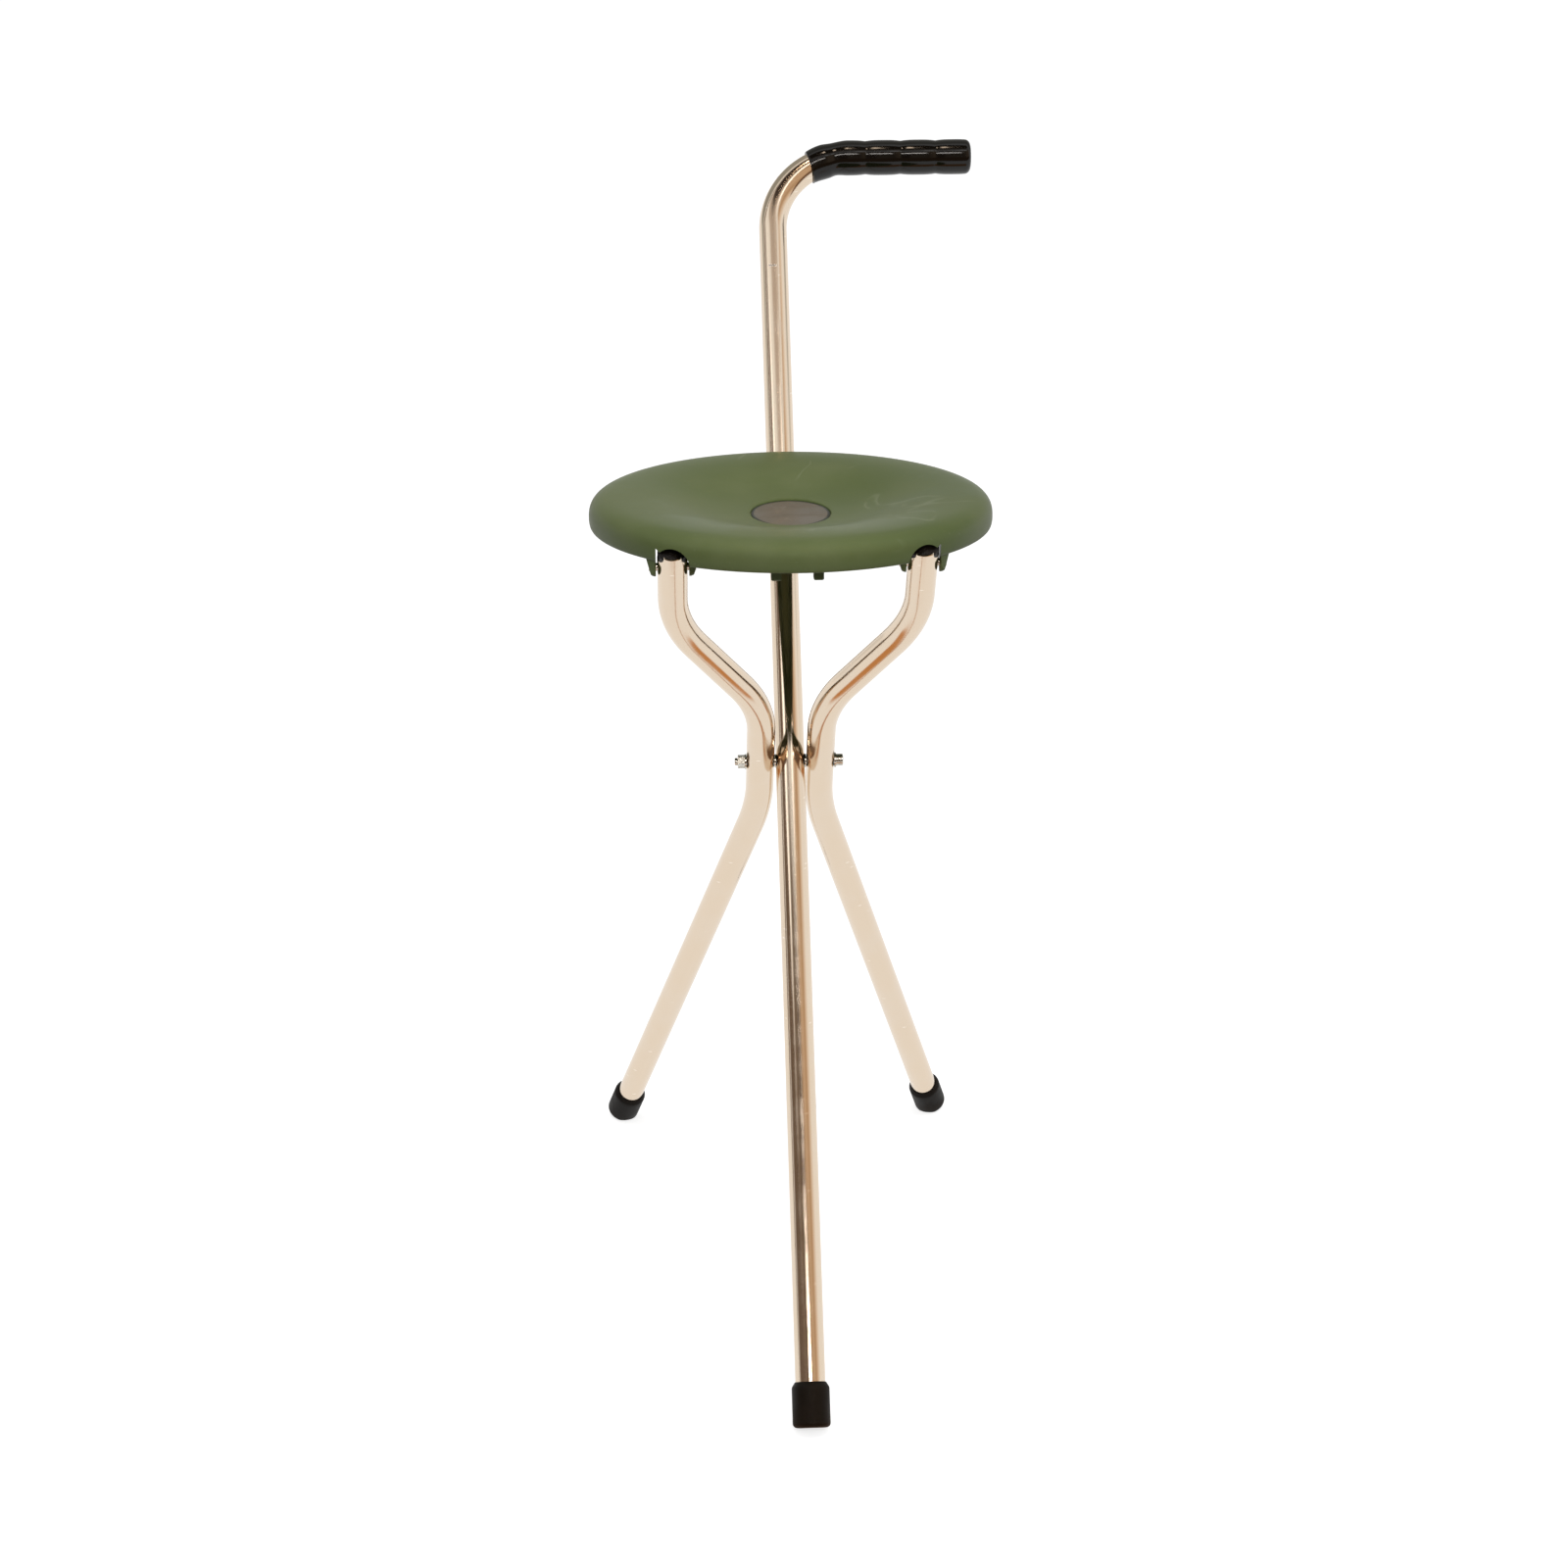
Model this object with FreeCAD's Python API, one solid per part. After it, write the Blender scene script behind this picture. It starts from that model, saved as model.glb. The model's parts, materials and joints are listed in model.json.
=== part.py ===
import FreeCAD, Part
import math
import os

# A walking stick that opens into a tripod stool.
# A bent tube with a handle is the stick and the front leg. Two bent side legs turn on one bolt
# through it, and carry a round moulded seat on two hinge pins. The back of the seat hooks over a
# pin through the stick.
# Millimetres. X runs along the handle and the bolt, Y to the back, Z up, with the floor at zero.
# Every piece is drawn about the bolt's centre, leaned over where it leans, and then put in place.

Vector = FreeCAD.Vector

# Stance
lean_angle = 33.0
pivot_height = 363.4
foot_reach = 429.0
side_foot_reach = 428.4

# Stick
stick_diameter = 19.0
stick_wall = 1.5
handle_height = 429.0
handle_end = 138.3
handle_bend_radius = 53.4

# Grip
grip_radius = 11.3
grip_swell = 0.7
grip_swell_count = 3
grip_last_swell = 12.1
grip_end_rounding = 4.0
grip_mouth_x = 26.4
grip_mouth_drop = 7.2
grip_mouth_slope = 16.5
grip_cap = 4.0
# radius of the grip at angles back round the bend, from its last swell to beyond its mouth
grip_bend_rings = ((0.0, 12.0), (5.5, 11.8), (11.0, 11.2), (18.0, 11.8), (28.0, 11.0), (38.0, 10.3))

# Side legs
leg_diameter = 18.5
leg_wall = 1.4
leg_gap = 0.9
leg_top_x = 76.0
leg_top_reach = 207.5
leg_upper_corner = 139.2
leg_lower_corner = 56.9
leg_knee = -45.1
leg_splay = 14.45
leg_bend_radius = 80.0
leg_knee_radius = 180.0
cope_radius = 8.0
tongue_width = 10.5

# Ferrules
ferrule_height = 28.0
ferrule_wall = 2.4
ferrule_base = 6.0
ferrule_rounding = 2.8
ferrule_mouth = 3.2
ferrule_lip = 0.3
ferrule_washer = 1.2

# Pivot bolt
bolt_diameter = 5.0
bush_diameter = 7.5
spacer_diameter = 9.0
spacer_thickness = 0.8
washer_diameter = 10.0
washer_thickness = 1.0
head_diameter = 8.0
head_height = 4.8
head_chamfer = 0.5
socket_width = 4.0
socket_depth = 2.5
nut_width = 8.0
nut_height = 4.5
nut_rounding_radius = 4.5
thread_end = 2.0

# Seat
seat_radius = 127.3
seat_centre_y = -20.5
seat_edge = 167.0
seat_top = 185.5
seat_equator = 171.5
seat_dish = 13.0
seat_flat_radius = 20.0
seat_crown_radius = 108.0
seat_crown_curve = 150.0
seat_wall = 3.0
edge_tuck = 2.2
edge_width = 2.5
rib_count = 12
rib_thickness = 2.4
rib_bottom = 168.0
rib_rings = (44.0, 80.0)

# Seat hinge
hinge_reach = 192.2
hinge_pin_diameter = 5.0
hinge_pin_extra = 1.6
hinge_gap = 0.8
ear_tip = 5.8
ear_tip_thickness = 2.7
ear_root_thickness = 11.0
ear_root_width = 24.0
arch_height = 9.5
tongue_sweep_radius = 18.2
plug_sweep_radius = 16.7
plug_dome = 1.6
plug_cheek_gap = 0.2
plug_cheek_drop = 1.2
plug_length = 26.0

# Clip fork that holds the folded stick
fork_width = 6.3
fork_depth = 7.0
fork_y = -100.0
fork_tip = 150.5
fork_chamfer = 0.8

# Hook at the back of the seat, and its pin through the stick
stop_reach = 187.0
stop_diameter = 5.0
cheek_inner = 17.5
cheek_thickness = 4.0
cheek_front = 9.0
cheek_back = 2.0
cheek_drop = 5.0
saddle_depth = 14.0

# Badge plate
badge_width = 51.0
badge_length = 68.0
badge_thickness = 1.0
badge_recess = 1.4

# Fits
running_clearance = 0.05
free_clearance = 0.3

# Derived sizes
stick_radius = stick_diameter / 2
leg_radius = leg_diameter / 2
leg_x = stick_radius + leg_gap + leg_radius
lean_sine = math.sin(math.radians(lean_angle))
lean_cosine = math.cos(math.radians(lean_angle))
splay_slope = math.tan(math.radians(leg_splay))
foot_x = leg_x + (side_foot_reach + leg_knee) * splay_slope


def rounded_base_reach(tip, slant, tube_radius):
    """How far a slanted ferrule reaches sideways, with its tip centre that far out."""
    sine = math.sin(math.radians(slant))
    cosine = math.cos(math.radians(slant))
    flat_radius = tube_radius + ferrule_wall - ferrule_rounding
    return tip - ferrule_rounding * sine + flat_radius * cosine + ferrule_rounding


# The origin is under the middle of the outline: the left foot to the handle's end, the front foot
# to the back of the grip.
left_reach = rounded_base_reach(foot_x, leg_splay, leg_radius)
front_reach = rounded_base_reach(foot_reach * lean_sine, lean_angle, stick_radius)
back_reach = handle_height * lean_sine + grip_radius + grip_swell
pivot_point = Vector((left_reach - handle_end) / 2, (front_reach - back_reach) / 2, pivot_height)
hinge_point = Vector(leg_top_x, -hinge_reach * lean_sine, hinge_reach * lean_cosine)
seat_centre = Vector(0, seat_centre_y, 0)
along_x = Vector(1, 0, 0)
along_y = Vector(0, 1, 0)
along_z = Vector(0, 0, 1)


def rod(start, direction, length, radius):
    """Solid round bar from a start point."""
    return Part.makeCylinder(radius, length, start, direction)


def cross_rod(x_from, x_to, radius, y=0.0, z=0.0):
    """Solid round bar along X."""
    return rod(Vector(x_from, y, z), along_x, x_to - x_from, radius)


def box(x_range, y_range, z_range):
    """Block between pairs of limits."""
    size = [high - low for low, high in (x_range, y_range, z_range)]
    return Part.makeBox(size[0], size[1], size[2], Vector(x_range[0], y_range[0], z_range[0]))


def prism(points, direction):
    """Block with a polygon outline, drawn out along a direction."""
    outline = Part.makePolygon(points + [points[0]])
    return Part.Face(outline).extrude(direction)


def turned(edges):
    """Solid of revolution about Z from the edges of a closed outline."""
    outline = Part.Wire(Part.__sortEdges__(edges))
    return Part.Face(outline).revolve(Vector(0, 0, 0), along_z, 360)


def mirrored(shape):
    """The same piece on the left side."""
    return shape.mirror(Vector(0, 0, 0), along_x)


def leaned(shape, angle):
    """Turn a piece about the bolt's axis."""
    copy = shape.copy()
    copy.rotate(Vector(0, 0, 0), along_x, angle)
    return copy


def stick_leaned(shape):
    """The stick leans back as it rises."""
    return leaned(shape, -lean_angle)


def legs_leaned(shape):
    """The side legs lean forward as they rise."""
    return leaned(shape, lean_angle)


def bent_path(corners, radii):
    """Straight runs joined by tangent arcs at the inner corners."""
    edges = []
    start = corners[0]
    for before, corner, after, radius in zip(corners, corners[1:], corners[2:], radii):
        inward = (before - corner).normalize()
        outward = (after - corner).normalize()
        half_turn = (math.pi - inward.getAngle(outward)) / 2
        setback = radius * math.tan(half_turn)
        first = corner + inward * setback
        last = corner + outward * setback
        bisector = (inward + outward).normalize()
        middle = corner + bisector * (radius / math.cos(half_turn) - radius)
        edges.append(Part.LineSegment(start, first).toShape())
        edges.append(Part.Arc(first, middle, last).toShape())
        start = last
    edges.append(Part.LineSegment(start, corners[-1]).toShape())
    return Part.Wire(edges)


def bent_rod(corners, radii, rod_radius):
    """Solid round bar along a bent path."""
    path = bent_path(corners, radii)
    direction = corners[1] - corners[0]
    circle = Part.makeCircle(rod_radius, corners[0], direction)
    return path.makePipeShell([Part.Wire([circle])], True, False)


def bent_tube(corners, radii, outer_radius, wall):
    """Hollow tube along a bent path."""
    return bent_rod(corners, radii, outer_radius).cut(bent_rod(corners, radii, outer_radius - wall))


def pointed_along(shape, tip, direction):
    """Carry a piece drawn up the Z axis to a tip point and a direction."""
    copy = shape.copy()
    turn = FreeCAD.Rotation(along_z, direction)
    copy.Placement = FreeCAD.Placement(tip, turn)
    return copy


def above_floor(shape):
    """Take off what is under the floor, which leaves the flat that a ferrule stands on."""
    reach = 60.0
    centre = shape.BoundBox.Center
    below = box(
        (centre.x - reach, centre.x + reach),
        (centre.y - reach, centre.y + reach),
        (-pivot_height - reach, -pivot_height),
    )
    return shape.cut(below)


def ferrule(tube_radius):
    """Rubber foot with a rounded base edge and a chamfered mouth."""
    base_radius = tube_radius + ferrule_wall
    corner = ferrule_rounding
    lean_in = corner * (1 - math.sqrt(0.5))
    points = [
        Vector(base_radius, 0, corner),
        Vector(base_radius, 0, ferrule_height - ferrule_mouth),
        Vector(tube_radius + ferrule_lip, 0, ferrule_height),
        Vector(0, 0, ferrule_height),
        Vector(0, 0, 0),
        Vector(base_radius - corner, 0, 0),
    ]
    edges = [Part.LineSegment(a, b).toShape() for a, b in zip(points, points[1:])]
    middle = Vector(base_radius - lean_in, 0, lean_in)
    edges.append(Part.Arc(points[-1], middle, points[0]).toShape())
    bore = rod(Vector(0, 0, ferrule_base), along_z, ferrule_height, tube_radius)
    return turned(edges).cut(bore)


def foot_pieces(tube_radius, tip, direction, lean):
    """A ferrule and the steel washer in it, leaned into place and cut level with the floor."""
    washer = rod(Vector(0, 0, ferrule_base), along_z, ferrule_washer, tube_radius - free_clearance)
    foot = lean(pointed_along(ferrule(tube_radius), tip, direction))
    return above_floor(foot), lean(pointed_along(washer, tip, direction))


def washer_disc(x_from, x_to, diameter):
    """Flat washer on the pivot bolt."""
    hole = cross_rod(x_from, x_to, bolt_diameter / 2)
    return cross_rod(x_from, x_to, diameter / 2).cut(hole)


def hexagon(x_from, x_to, across_flats):
    """Six sided block along X."""
    corner_radius = across_flats / math.sqrt(3)
    corners = []
    for step in range(6):
        angle = math.radians(60 * step)
        corners.append(Vector(x_from, corner_radius * math.cos(angle), corner_radius * math.sin(angle)))
    return prism(corners, Vector(x_to - x_from, 0, 0))


# Stick: the bent tube, and the pieces fixed to it
tube_end_reach = foot_reach - ferrule_base - ferrule_washer
stick_corners = [
    Vector(0, 0, -tube_end_reach),
    Vector(0, 0, handle_height),
    Vector(handle_end - grip_cap, 0, handle_height),
]
bush_bar = cross_rod(-stick_diameter, stick_diameter, bush_diameter / 2)


def make_stick_tube():
    tube = bent_tube(stick_corners, [handle_bend_radius], stick_radius, stick_wall)
    stop_hole = cross_rod(-stick_diameter, stick_diameter, stop_diameter / 2, 0, stop_reach)
    return tube.cut(bush_bar).cut(stop_hole)


def make_stick_bush():
    """Sleeve across the tube, flush with its outside, so that the bolt can't crush it."""
    column = rod(Vector(0, 0, -bush_diameter), along_z, 2 * bush_diameter, stick_radius)
    bolt_hole = cross_rod(-stick_diameter, stick_diameter, bolt_diameter / 2)
    return bush_bar.common(column).cut(bolt_hole)


def make_stop_pin():
    half = cheek_inner + cheek_thickness
    return cross_rod(-half, half, stop_diameter / 2, 0, stop_reach)


def grip_sleeve():
    """The grip round the bend: rings of changing radius along the bend, cut off at a slant."""
    bend_centre = Vector(handle_bend_radius, 0, handle_height - handle_bend_radius)

    def place_at(angle):
        turn = math.radians(angle)
        return bend_centre + Vector(-math.sin(turn), 0, math.cos(turn)) * handle_bend_radius

    rings = []
    for angle, radius in grip_bend_rings:
        turn = math.radians(angle)
        direction = Vector(math.cos(turn), 0, math.sin(turn))
        rings.append(Part.Wire([Part.makeCircle(radius, place_at(angle), direction)]))
    sleeve = Part.makeLoft(rings, True, False)
    reach = 2 * handle_bend_radius
    mouth = box((-reach, 0), (-reach, reach), (-reach, reach))
    mouth.rotate(Vector(0, 0, 0), along_y, -grip_mouth_slope)
    mouth.translate(Vector(grip_mouth_x, 0, handle_height - grip_mouth_drop))
    return sleeve.cut(mouth)


def grip_swells():
    """Solid outline of the straight part: arcs along the handle, turned about it."""
    straight_length = handle_end - handle_bend_radius
    low = grip_radius
    high = grip_radius + grip_swell
    pitch = (straight_length - grip_last_swell) / grip_swell_count
    corner_start = straight_length - grip_end_rounding
    outline = [Vector(0, 0, 0), Vector(high, 0, 0)]
    edges = [Part.LineSegment(outline[0], outline[1]).toShape()]
    # the first swell is a half one, which goes on round the bend
    fall = Vector(low + grip_swell * 0.75, 0, pitch / 4)
    valley = Vector(low, 0, pitch / 2)
    edges.append(Part.Arc(outline[1], fall, valley).toShape())
    for step in range(1, grip_swell_count + 1):
        end = Vector(low, 0, min(pitch * (step + 0.5), corner_start))
        top = Vector(high, 0, (valley.z + end.z) / 2)
        edges.append(Part.Arc(valley, top, end).toShape())
        valley = end
    inner = low - grip_end_rounding
    round_middle = grip_end_rounding * math.sqrt(0.5)
    end_start = Vector(inner, 0, straight_length)
    middle = Vector(inner + round_middle, 0, corner_start + round_middle)
    edges.append(Part.Arc(valley, middle, end_start).toShape())
    axis_end = Vector(0, 0, straight_length)
    edges.append(Part.LineSegment(end_start, axis_end).toShape())
    edges.append(Part.LineSegment(axis_end, outline[0]).toShape())
    return pointed_along(turned(edges), Vector(handle_bend_radius, 0, handle_height), along_x)


def make_grip():
    """Moulded grip: a bent sleeve with a slanted mouth, then finger swells along the handle."""
    bore = bent_rod(stick_corners, [handle_bend_radius], stick_radius)
    return grip_sleeve().fuse(grip_swells()).cut(bore)


def make_bolt():
    """Cap head on the right, thread end through the nut on the left."""
    seat_x = leg_x + leg_radius + running_clearance + washer_thickness
    shank = cross_rod(-seat_x - nut_height - thread_end, seat_x, bolt_diameter / 2)
    head = cross_rod(seat_x, seat_x + head_height, head_diameter / 2)
    end_x = seat_x + head_height
    end_edges = [e for e in head.Edges if e.BoundBox.XMin > end_x - head_chamfer]
    head = head.makeChamfer(head_chamfer, end_edges)
    socket = hexagon(seat_x + head_height - socket_depth, seat_x + head_height, socket_width)
    return shank.fuse(head).cut(socket).removeSplitter()


def make_nut():
    seat_x = leg_x + leg_radius + running_clearance + washer_thickness
    block = hexagon(-seat_x - nut_height, -seat_x, nut_width)
    rounding = cross_rod(-seat_x - nut_height, -seat_x, nut_rounding_radius)
    hole = cross_rod(-seat_x - nut_height, -seat_x, bolt_diameter / 2)
    return block.common(rounding).cut(hole)


# Side legs, drawn on the right side and mirrored
foot_direction = Vector(-math.sin(math.radians(leg_splay)), 0, math.cos(math.radians(leg_splay)))
foot_tip = Vector(foot_x, 0, -side_foot_reach)
leg_corners = [
    Vector(leg_top_x, 0, leg_top_reach),
    Vector(leg_top_x, 0, leg_upper_corner),
    Vector(leg_x, 0, leg_lower_corner),
    Vector(leg_x, 0, leg_knee),
    foot_tip + foot_direction * (ferrule_base + ferrule_washer),
]
leg_radii = [leg_bend_radius, leg_bend_radius, leg_knee_radius]
leg_bush_bar = cross_rod(leg_x - leg_diameter, leg_x + leg_diameter, bush_diameter / 2)
hinge_hole = cross_rod(
    leg_top_x - leg_diameter,
    leg_top_x + leg_diameter,
    hinge_pin_diameter / 2 + running_clearance,
    0,
    hinge_reach,
)


def cope_bars():
    """Two round bars that cut the leg's top to a tongue, front and back."""
    bars = []
    for side in (-1, 1):
        x = leg_top_x + side * (tongue_width / 2 + cope_radius)
        bars.append(rod(Vector(x, -leg_diameter, leg_top_reach), along_y, 2 * leg_diameter, cope_radius))
    return bars[0].fuse(bars[1])


def make_leg_tube():
    tube = bent_tube(leg_corners, leg_radii, leg_radius, leg_wall)
    return tube.cut(cope_bars()).cut(leg_bush_bar).cut(hinge_hole)


def make_leg_bush():
    """Sleeve across the leg, flush with its outside, that turns on the bolt."""
    column = rod(Vector(leg_x, 0, -bush_diameter), along_z, 2 * bush_diameter, leg_radius)
    bore = cross_rod(0, leg_x + leg_diameter, bolt_diameter / 2 + running_clearance)
    return leg_bush_bar.common(column).cut(bore)


def make_hinge_plug():
    """Moulded plug in the top of the leg, full width beside the tongue, with a low domed end."""
    radius = leg_radius - leg_wall
    foot = Vector(leg_top_x, 0, leg_top_reach - plug_length)
    stem = rod(foot, along_z, plug_length + plug_dome, radius)
    dome_radius = (radius ** 2 + plug_dome ** 2) / (2 * plug_dome)
    ball_centre = Vector(leg_top_x, 0, leg_top_reach + plug_dome - dome_radius)
    stem = stem.common(Part.makeSphere(dome_radius, ball_centre))
    cheek_foot = Vector(leg_top_x, 0, leg_top_reach - cope_radius)
    cheek_length = cope_radius - plug_cheek_drop
    cheeks = rod(cheek_foot, along_z, cheek_length, leg_radius - plug_cheek_gap)
    cheeks = cheeks.common(cope_bars())
    return stem.fuse(cheeks).cut(hinge_hole)


# Seat, drawn level about the bolt
def seat_profile(drop, rim_radius, edge_radius, rise_depth):
    """Half section of the seat's outside, or of the hollow under it when drop is the wall.

    The dish is flat in the middle and rises in two tangent arcs to the crown, where it is level
    again. The rim is a quarter of an ellipse from the crown to the equator, and a smaller one
    tucks in below it.
    """
    half_angle = math.atan(seat_dish / (seat_crown_radius - seat_flat_radius))
    turn = 2 * half_angle
    radius_sum = (seat_crown_radius - seat_flat_radius) / math.sin(turn)
    dish_curve = radius_sum - seat_crown_curve
    centre_z = seat_top - seat_dish - drop
    crown_z = seat_top - drop

    def on_dish(angle):
        out = seat_flat_radius + dish_curve * math.sin(angle)
        return Vector(out, 0, centre_z + dish_curve * (1 - math.cos(angle)))

    def on_crown(angle):
        back = seat_crown_curve * math.sin(angle)
        down = seat_crown_curve * (1 - math.cos(angle))
        return Vector(seat_crown_radius - back, 0, crown_z - down)

    bottom = Vector(0, 0, rise_depth)
    middle = Vector(0, 0, centre_z)
    crown = Vector(seat_crown_radius, 0, crown_z)
    equator = Vector(rim_radius, 0, seat_equator)
    rim = Part.Ellipse(
        Vector(rim_radius, 0, seat_equator),
        Vector(seat_crown_radius, 0, crown_z),
        Vector(seat_crown_radius, 0, seat_equator),
    )
    edges = [
        Part.LineSegment(bottom, middle).toShape(),
        Part.LineSegment(middle, on_dish(0)).toShape(),
        Part.Arc(on_dish(0), on_dish(turn / 2), on_dish(turn)).toShape(),
        Part.Arc(on_dish(turn), on_crown(turn / 2), crown).toShape(),
        rim.toShape(rim.parameter(equator), rim.parameter(crown)),
    ]
    low = Vector(edge_radius, 0, rise_depth)
    if edge_radius < rim_radius:
        tuck = Part.Ellipse(
            Vector(edge_radius, 0, rise_depth),
            Vector(rim_radius, 0, seat_equator),
            Vector(edge_radius, 0, seat_equator),
        )
        start, end = sorted((tuck.parameter(low), tuck.parameter(equator)))
        if end - start > math.pi:
            start, end = end, start + 2 * math.pi
        edges.append(tuck.toShape(start, end))
    else:
        edges.append(Part.LineSegment(equator, low).toShape())
    edges.append(Part.LineSegment(low, bottom).toShape())
    return edges


def centred(shape):
    """Move a piece drawn about the seat's own centre to the seat."""
    shape.translate(seat_centre)
    return shape


def make_seat_outside():
    edge_radius = seat_radius - edge_tuck
    return centred(turned(seat_profile(0, seat_radius, edge_radius, seat_edge)))


def make_seat_hollow():
    inner_radius = seat_radius - edge_tuck - edge_width
    hollow_bottom = seat_edge - edge_width
    return centred(turned(seat_profile(seat_wall, inner_radius, inner_radius, hollow_bottom)))


def seat_ribs():
    """Straight ribs like spokes, and two rings."""
    height = seat_top - rib_bottom
    pieces = []
    for step in range(rib_count):
        spoke = box((rib_rings[0], seat_radius), (-rib_thickness / 2, rib_thickness / 2), (0, height))
        spoke.rotate(Vector(0, 0, 0), along_z, 360 / rib_count * (step + 0.5))
        pieces.append(spoke)
    for radius in rib_rings:
        outer = rod(Vector(0, 0, 0), along_z, height, radius + rib_thickness / 2)
        pieces.append(outer.cut(rod(Vector(0, 0, 0), along_z, height, radius - rib_thickness / 2)))
    ribs = pieces[0].fuse(pieces[1:])
    ribs.translate(Vector(0, 0, rib_bottom))
    return centred(ribs)


def hinge_ear(side):
    """One ear of the right hinge: round about the pin, wider and thicker towards the seat."""
    y, z = hinge_point.y, hinge_point.z
    face_x = leg_top_x + side * (leg_radius + hinge_gap)
    root_z = seat_top - z
    half_root = ear_root_width / 2
    outline = [
        Vector(0, -ear_tip, 0),
        Vector(0, ear_tip, 0),
        Vector(0, half_root, root_z),
        Vector(0, -half_root, root_z),
    ]
    side_view = prism(outline, Vector(seat_radius, 0, 0))
    side_view = side_view.fuse(rod(Vector(0, 0, 0), along_x, seat_radius, ear_tip))
    side_view.translate(Vector(0, y, z))
    front_view = prism(
        [
            Vector(face_x, -seat_radius * 2, z - ear_tip),
            Vector(face_x + side * ear_tip_thickness, -seat_radius * 2, z - ear_tip),
            Vector(face_x + side * ear_root_thickness, -seat_radius * 2, seat_top),
            Vector(face_x, -seat_radius * 2, seat_top),
        ],
        Vector(0, seat_radius * 4, 0),
    )
    return side_view.common(front_view)


def clip_post():
    """Right post of the fork that straddles the folded stick."""
    inner = stick_radius + free_clearance
    half = fork_depth / 2
    block = box((inner, inner + fork_width), (fork_y - half, fork_y + half), (fork_tip, seat_top))
    tip_edges = [e for e in block.Edges if e.BoundBox.ZMax < fork_tip + fork_chamfer]
    return block.makeChamfer(fork_chamfer, tip_edges)


def hook_cheek():
    """Right cheek at the back, drawn along the stick, with a round seat that drops on the pin."""
    outline = [
        Vector(cheek_inner, -cheek_front, stop_reach),
        Vector(cheek_inner, -2 * cheek_front, stop_reach + 3 * cheek_front),
        Vector(cheek_inner, -2 * cheek_front, stop_reach + 5 * cheek_front),
        Vector(cheek_inner, cheek_back, stop_reach + 5 * cheek_front),
        Vector(cheek_inner, cheek_back, stop_reach - cheek_drop),
        Vector(cheek_inner, -cheek_front + cheek_drop, stop_reach - cheek_drop),
    ]
    plate = prism(outline, Vector(cheek_thickness, 0, 0))
    slot_radius = stop_diameter / 2 + free_clearance
    slot = cross_rod(0, 2 * cheek_inner, slot_radius, 0, stop_reach)
    beyond = 3 * cheek_drop
    way_out = box((0, 2 * cheek_inner), (-slot_radius, beyond), (stop_reach - beyond, stop_reach))
    return stick_leaned(plate.cut(slot).cut(way_out))


def saddle():
    """Block between the cheeks that bears on the front of the stick."""
    half = cheek_inner + cheek_thickness
    block = box((-half, half), (-saddle_depth, 0), (stop_reach, stop_reach + 5 * cheek_front))
    return stick_leaned(block)


def leg_pocket():
    """Room for the end of the right leg as it turns between its ears, and the arch for the leg."""
    half = leg_radius + hinge_gap
    half_tongue = tongue_width / 2 + free_clearance
    y, z = hinge_point.y, hinge_point.z
    tongue_room = cross_rod(leg_top_x - half_tongue, leg_top_x + half_tongue, tongue_sweep_radius, y, z)
    plug_room = cross_rod(leg_top_x - half, leg_top_x + half, plug_sweep_radius, y, z)
    front = seat_centre_y - seat_radius - arch_height
    centre = Vector(leg_top_x, front, seat_edge)
    oval = Part.Ellipse(centre + along_x * half, centre + along_z * arch_height, centre)
    to_hinge = Vector(0, y - front, 0)
    arch = Part.Face(Part.Wire([oval.toShape()])).extrude(to_hinge)
    way_in = box((leg_top_x - half, leg_top_x + half), (front, y), (seat_edge - 2 * arch_height, seat_edge))
    return tongue_room.fuse([plug_room, arch, way_in])


def make_seat_shell():
    outside = make_seat_outside()
    column_start = seat_edge - 2 * (seat_edge - fork_tip)
    column_base = seat_centre + Vector(0, 0, column_start)
    column = rod(column_base, along_z, seat_equator - column_start, seat_radius - edge_tuck)
    allowed = outside.fuse(column)
    shell = outside.cut(make_seat_hollow())
    ribs = seat_ribs().common(outside)
    hinge = [hinge_ear(-1), hinge_ear(1), clip_post(), hook_cheek()]
    hinge += [mirrored(piece) for piece in hinge]
    below = hinge[0].fuse(hinge[1:]).common(allowed)
    bearing = saddle().common(outside)
    shell = shell.fuse([ribs, below, bearing])
    pockets = leg_pocket()
    pin_hole = cross_rod(
        -seat_radius, seat_radius, hinge_pin_diameter / 2, hinge_point.y, hinge_point.z
    )
    way_start = Vector(0, 0, stop_reach - seat_radius / 2)
    stick_way = stick_leaned(rod(way_start, along_z, seat_radius, stick_radius + free_clearance))
    shell = shell.cut([pockets, mirrored(pockets), pin_hole, stick_way, badge_well()])
    return shell.removeSplitter()


def oval_block(width, length, z_from, z_to):
    """Oval block at the middle of the seat, longer from front to back."""
    ellipse = Part.Ellipse(
        Vector(0, length / 2, z_from), Vector(width / 2, 0, z_from), Vector(0, 0, z_from)
    )
    face = Part.Face(Part.Wire([ellipse.toShape()]))
    return centred(face.extrude(Vector(0, 0, z_to - z_from)))


def badge_well():
    floor_z = seat_top - seat_dish - badge_recess
    return oval_block(badge_width, badge_length, floor_z, seat_top)


def make_badge():
    """Blank oval plate in its well."""
    floor_z = seat_top - seat_dish - badge_recess
    margin = 2 * free_clearance
    return oval_block(badge_width - margin, badge_length - margin, floor_z, floor_z + badge_thickness)


def make_hinge_pin():
    """Pin pressed through both ears of the right hinge, flush with them."""
    half = leg_radius + hinge_gap + ear_tip_thickness + hinge_pin_extra
    return cross_rod(
        leg_top_x - half,
        leg_top_x + half,
        hinge_pin_diameter / 2,
        hinge_point.y,
        hinge_point.z,
    )


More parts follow.
